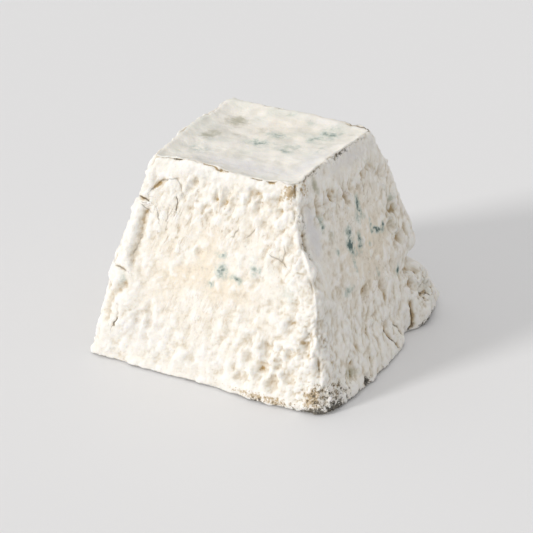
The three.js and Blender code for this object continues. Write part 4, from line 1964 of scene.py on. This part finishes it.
    def grained(self, graph: Graph, rind: RindInputs) -> Socket:
        """The finest grain and flour, and the combed strokes, as bump that is softer on felt.

        Args:
            graph: The material's graph.
            rind: What the layers read.

        Returns:
            The bumped direction.
        """
        felted = rind.field["felted"]
        carved = graph.math("MULTIPLY", rind.stroke, self.stroke_cut)
        carved = graph.math("SUBTRACT", rind.grain, carved)
        coarse = graph.bump(carved, self.grain_depth, graph.ramp(felted, *self.grain_strength))
        return graph.bump(rind.flour, self.flour_depth, graph.ramp(felted, *self.flour_strength), coarse)

    def build(self) -> bpy.types.Material:
        """Makes the material.

        Returns:
            A material that reads the rind's attributes and breaks their edges up with noise.
        """
        material = bpy.data.materials.new("floury_rind")
        graph = Graph(material)
        rind = RindInputs(graph)
        colour = self.bloomed(graph, rind)
        for layers in (self.worn_and_shaded, self.grown_and_shaded, self.stained):
            colour = layers(graph, rind, colour)
        inputs = graph.shader.inputs
        graph.feed(inputs["Base Color"], colour)
        graph.feed(inputs["Roughness"], graph.ramp(rind.mottle, *self.roughness_fade))
        graph.feed(inputs["Normal"], self.grained(graph, rind))
        inputs["Specular IOR Level"].default_value = self.specular
        inputs["Subsurface Weight"].default_value = self.glow
        inputs["Subsurface Radius"].default_value = self.glow_radius
        inputs["Subsurface Scale"].default_value = self.glow_depth * MM
        return material


@dataclass(frozen=True)
class FloorFinish:
    """A plain pale floor. The drift gives how its lightness wanders between the two tones."""

    tone: Colour = (227, 227, 228)
    other_tone: Colour = (224, 224, 225)
    drift_size: float = 180.0
    drift_fade: Fade = (0.3, 0.7, 0.0, 0.06)
    roughness: float = 0.6
    specular: float = 0.2

    def build(self) -> bpy.types.Material:
        """Makes the material.

        Returns:
            A material of one pale tone, with a very faint, broad drift of lightness.
        """
        material = bpy.data.materials.new("pale_floor")
        graph = Graph(material)
        drift = graph.ramp(graph.noise(self.drift_size, detail=2.0), *self.drift_fade)
        colour = graph.blend(drift, linear(self.tone), linear(self.other_tone))
        graph.feed(graph.shader.inputs["Base Color"], colour)
        graph.shader.inputs["Roughness"].default_value = self.roughness
        graph.shader.inputs["Specular IOR Level"].default_value = self.specular
        return material


# ---------------------------------------------------------------------------------------------
# The cheese
# ---------------------------------------------------------------------------------------------


@dataclass
class Cheese:
    """The whole cheese: its form, its rind and its finish."""

    form: PyramidForm = field(default_factory=PyramidForm)
    grid: BlockGrid = field(default_factory=BlockGrid)
    relief: RindRelief = field(default_factory=RindRelief)
    finish: RindFinish = field(default_factory=RindFinish)

    def settled(self) -> Array:
        """Makes the settled form.

        Returns:
            Its points in mm, fitted to the frame's box of the cheese.
        """
        points = self.form.place(self.grid.points())
        low, high = (np.array(corner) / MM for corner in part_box("cheese"))
        own_low, own_high = points.min(axis=0), points.max(axis=0)
        log.info("form %s, frame %s mm", np.round(own_high - own_low, 2), np.round(high - low, 2))
        return low + (points - own_low) * (high - low) / (own_high - own_low)

    def build(self) -> bpy.types.Object:
        """Makes the cheese as one closed mesh with its rind's attributes and finish.

        Returns:
            The cheese, riding on the body and standing for its CAD node.
        """
        points = self.settled()
        quads, fan = self.grid.quads(), self.grid.fan()
        normals = point_normals(points, quads, fan)
        fields = self.relief.fields(points, normals, self.grid.rim_distance(self.form), self.grid)
        points = points + normals * fields.relief[:, None]
        points[:, 2] = np.maximum(points[:, 2], 0.0)
        points[0, 2] = 0.0
        mesh = bpy.data.meshes.new("cheese_rind")
        mesh.from_pydata(points * MM, [], [])
        self.fill_faces(mesh, quads, fan)
        self.paint(mesh, fields)
        mesh.materials.append(self.finish.build())
        piece = bpy.data.objects.new("cheese_rind", mesh)
        bpy.context.collection.objects.link(piece)
        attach(piece, "root")
        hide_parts("cheese")
        log.info("%s: %d points, %d quads", piece.name, len(points), len(quads))
        return piece

    @staticmethod
    def fill_faces(mesh: bpy.types.Mesh, quads: Array, fan: Array) -> None:
        """Gives the mesh its quads and triangles, all smooth.

        Args:
            mesh: A mesh that has its points.
            quads: The quads' corners.
            fan: The triangles' corners.
        """
        corners = np.concatenate([quads.ravel(), fan.ravel()])
        sizes = np.concatenate([np.full(len(quads), 4), np.full(len(fan), 3)])
        starts = np.concatenate([[0], np.cumsum(sizes)[:-1]])
        mesh.loops.add(len(corners))
        mesh.loops.foreach_set("vertex_index", corners.astype(np.int32))
        mesh.polygons.add(len(sizes))
        mesh.polygons.foreach_set("loop_start", starts.astype(np.int32))
        mesh.update(calc_edges=True)
        mesh.validate()
        mesh.polygons.foreach_set("use_smooth", np.ones(len(mesh.polygons), dtype=bool))
        mesh.update()

    @staticmethod
    def paint(mesh: bpy.types.Mesh, fields: RindFields) -> None:
        """Stores the painted fields as attributes of the mesh, one number a point.

        Args:
            mesh: A mesh that has its points.
            fields: The rind's fields.
        """
        for name in PAINTED:
            layer = mesh.attributes.new(attribute_name(name), "FLOAT", "POINT")
            layer.data.foreach_set("value", getattr(fields, name).astype(np.float32))


# ---------------------------------------------------------------------------------------------
# The studio
# ---------------------------------------------------------------------------------------------


@dataclass(frozen=True)
class Studio:
    """A plain pale floor, a soft key light from the left, a wide light overhead and even fill.

    Lengths are in metres, except that lens and sensor are in mm. Angles are in degrees.
    """

    floor_half: float = 6.0
    floor_corners: int = 5
    camera_azimuth: float = 27.8
    camera_elevation: float = 26.05
    camera_distance: float = 0.673
    camera_aim: tuple[float, float, float] = (0.00439, -0.01101, 0.0269)
    camera_lens: float = 156.6
    camera_sensor: float = 36.0
    key_azimuth: float = -33.0
    key_elevation: float = 22.5
    key_spread: float = 12.0
    key_strength: float = 1.9
    key_tint: tuple[float, float, float] = (1.0, 0.985, 0.965)
    overhead_strength: float = 0.67
    overhead_spread: float = 100.0
    sky: Colour = (227, 226, 225)
    sky_strength: float = 0.69

    @staticmethod
    def direction(azimuth: float, elevation: float) -> Array:
        """Works out a direction from two angles.

        Args:
            azimuth: The turn from -Y towards +X.
            elevation: The rise above level.

        Returns:
            The unit direction.
        """
        turn, rise = math.radians(azimuth), math.radians(elevation)
        level = math.cos(rise)
        return np.array([math.sin(turn) * level, -math.cos(turn) * level, math.sin(rise)])

    def floor(self) -> bpy.types.Object:
        """Makes the floor, a flat grid of quads under the cheese.

        Returns:
            The floor.
        """
        steps = np.linspace(-self.floor_half, self.floor_half, self.floor_corners)
        x, y = np.meshgrid(steps, steps)
        points = np.column_stack([x.ravel(), y.ravel(), np.zeros(x.size)])
        index = np.arange(x.size).reshape(x.shape)
        quads = np.stack([index[:-1, :-1], index[:-1, 1:], index[1:, 1:], index[1:, :-1]], axis=-1)
        mesh = bpy.data.meshes.new("floor")
        mesh.from_pydata(points.tolist(), [], quads.reshape(-1, 4).tolist())
        mesh.materials.append(FloorFinish().build())
        floor = bpy.data.objects.new("floor", mesh)
        bpy.context.collection.objects.link(floor)
        return floor

    @staticmethod
    def facing(azimuth: float, elevation: float) -> tuple[float, float, float]:
        """The turn that faces a lamp or camera down from that azimuth and elevation."""
        return (math.radians(90.0 - elevation), 0.0, math.radians(azimuth))

    def camera(self) -> bpy.types.Object:
        """Makes the camera and makes it the scene's.

        Returns:
            The camera.
        """
        data = bpy.data.cameras.new("camera")
        data.lens = self.camera_lens
        data.sensor_width = self.camera_sensor
        camera = bpy.data.objects.new("camera", data)
        bpy.context.collection.objects.link(camera)
        back = self.direction(self.camera_azimuth, self.camera_elevation)
        camera.location = np.array(self.camera_aim) + back * self.camera_distance
        camera.rotation_euler = self.facing(self.camera_azimuth, self.camera_elevation)
        bpy.context.scene.camera = camera
        return camera

    @staticmethod
    def lamp(name: str, strength: float, spread: float) -> bpy.types.Object:
        """Makes a distant lamp that points straight down.

        Args:
            name: The lamp's name.
            strength: Its strength.
            spread: How wide a disc it is.

        Returns:
            The lamp.
        """
        data = bpy.data.lights.new(name, "SUN")
        data.energy = strength
        data.angle = math.radians(spread)
        lamp = bpy.data.objects.new(name, data)
        bpy.context.collection.objects.link(lamp)
        return lamp

    def lights(self) -> None:
        """Makes the warm key light, the soft light overhead and the even fill from all round."""
        key = self.lamp("key", self.key_strength, self.key_spread)
        key.data.color = self.key_tint
        key.rotation_euler = self.facing(self.key_azimuth, self.key_elevation)
        self.lamp("overhead", self.overhead_strength, self.overhead_spread)
        world = bpy.data.worlds.new("studio")
        world.use_nodes = True
        background = world.node_tree.nodes["Background"]
        background.inputs["Color"].default_value = linear(self.sky)
        background.inputs["Strength"].default_value = self.sky_strength
        bpy.context.scene.world = world

    def build(self) -> None:
        """Makes the whole studio."""
        self.floor()
        self.camera()
        self.lights()
        bpy.context.scene.view_settings.view_transform = "Standard"
        log.info("studio: floor, camera, key, overhead and fill")


def main() -> None:
    """Builds the cheese and the studio."""
    logging.basicConfig(level=logging.INFO, format="%(name)s: %(message)s", stream=sys.stdout)
    Studio().build()
    Cheese().build()


if __name__ == "__main__":
    main()
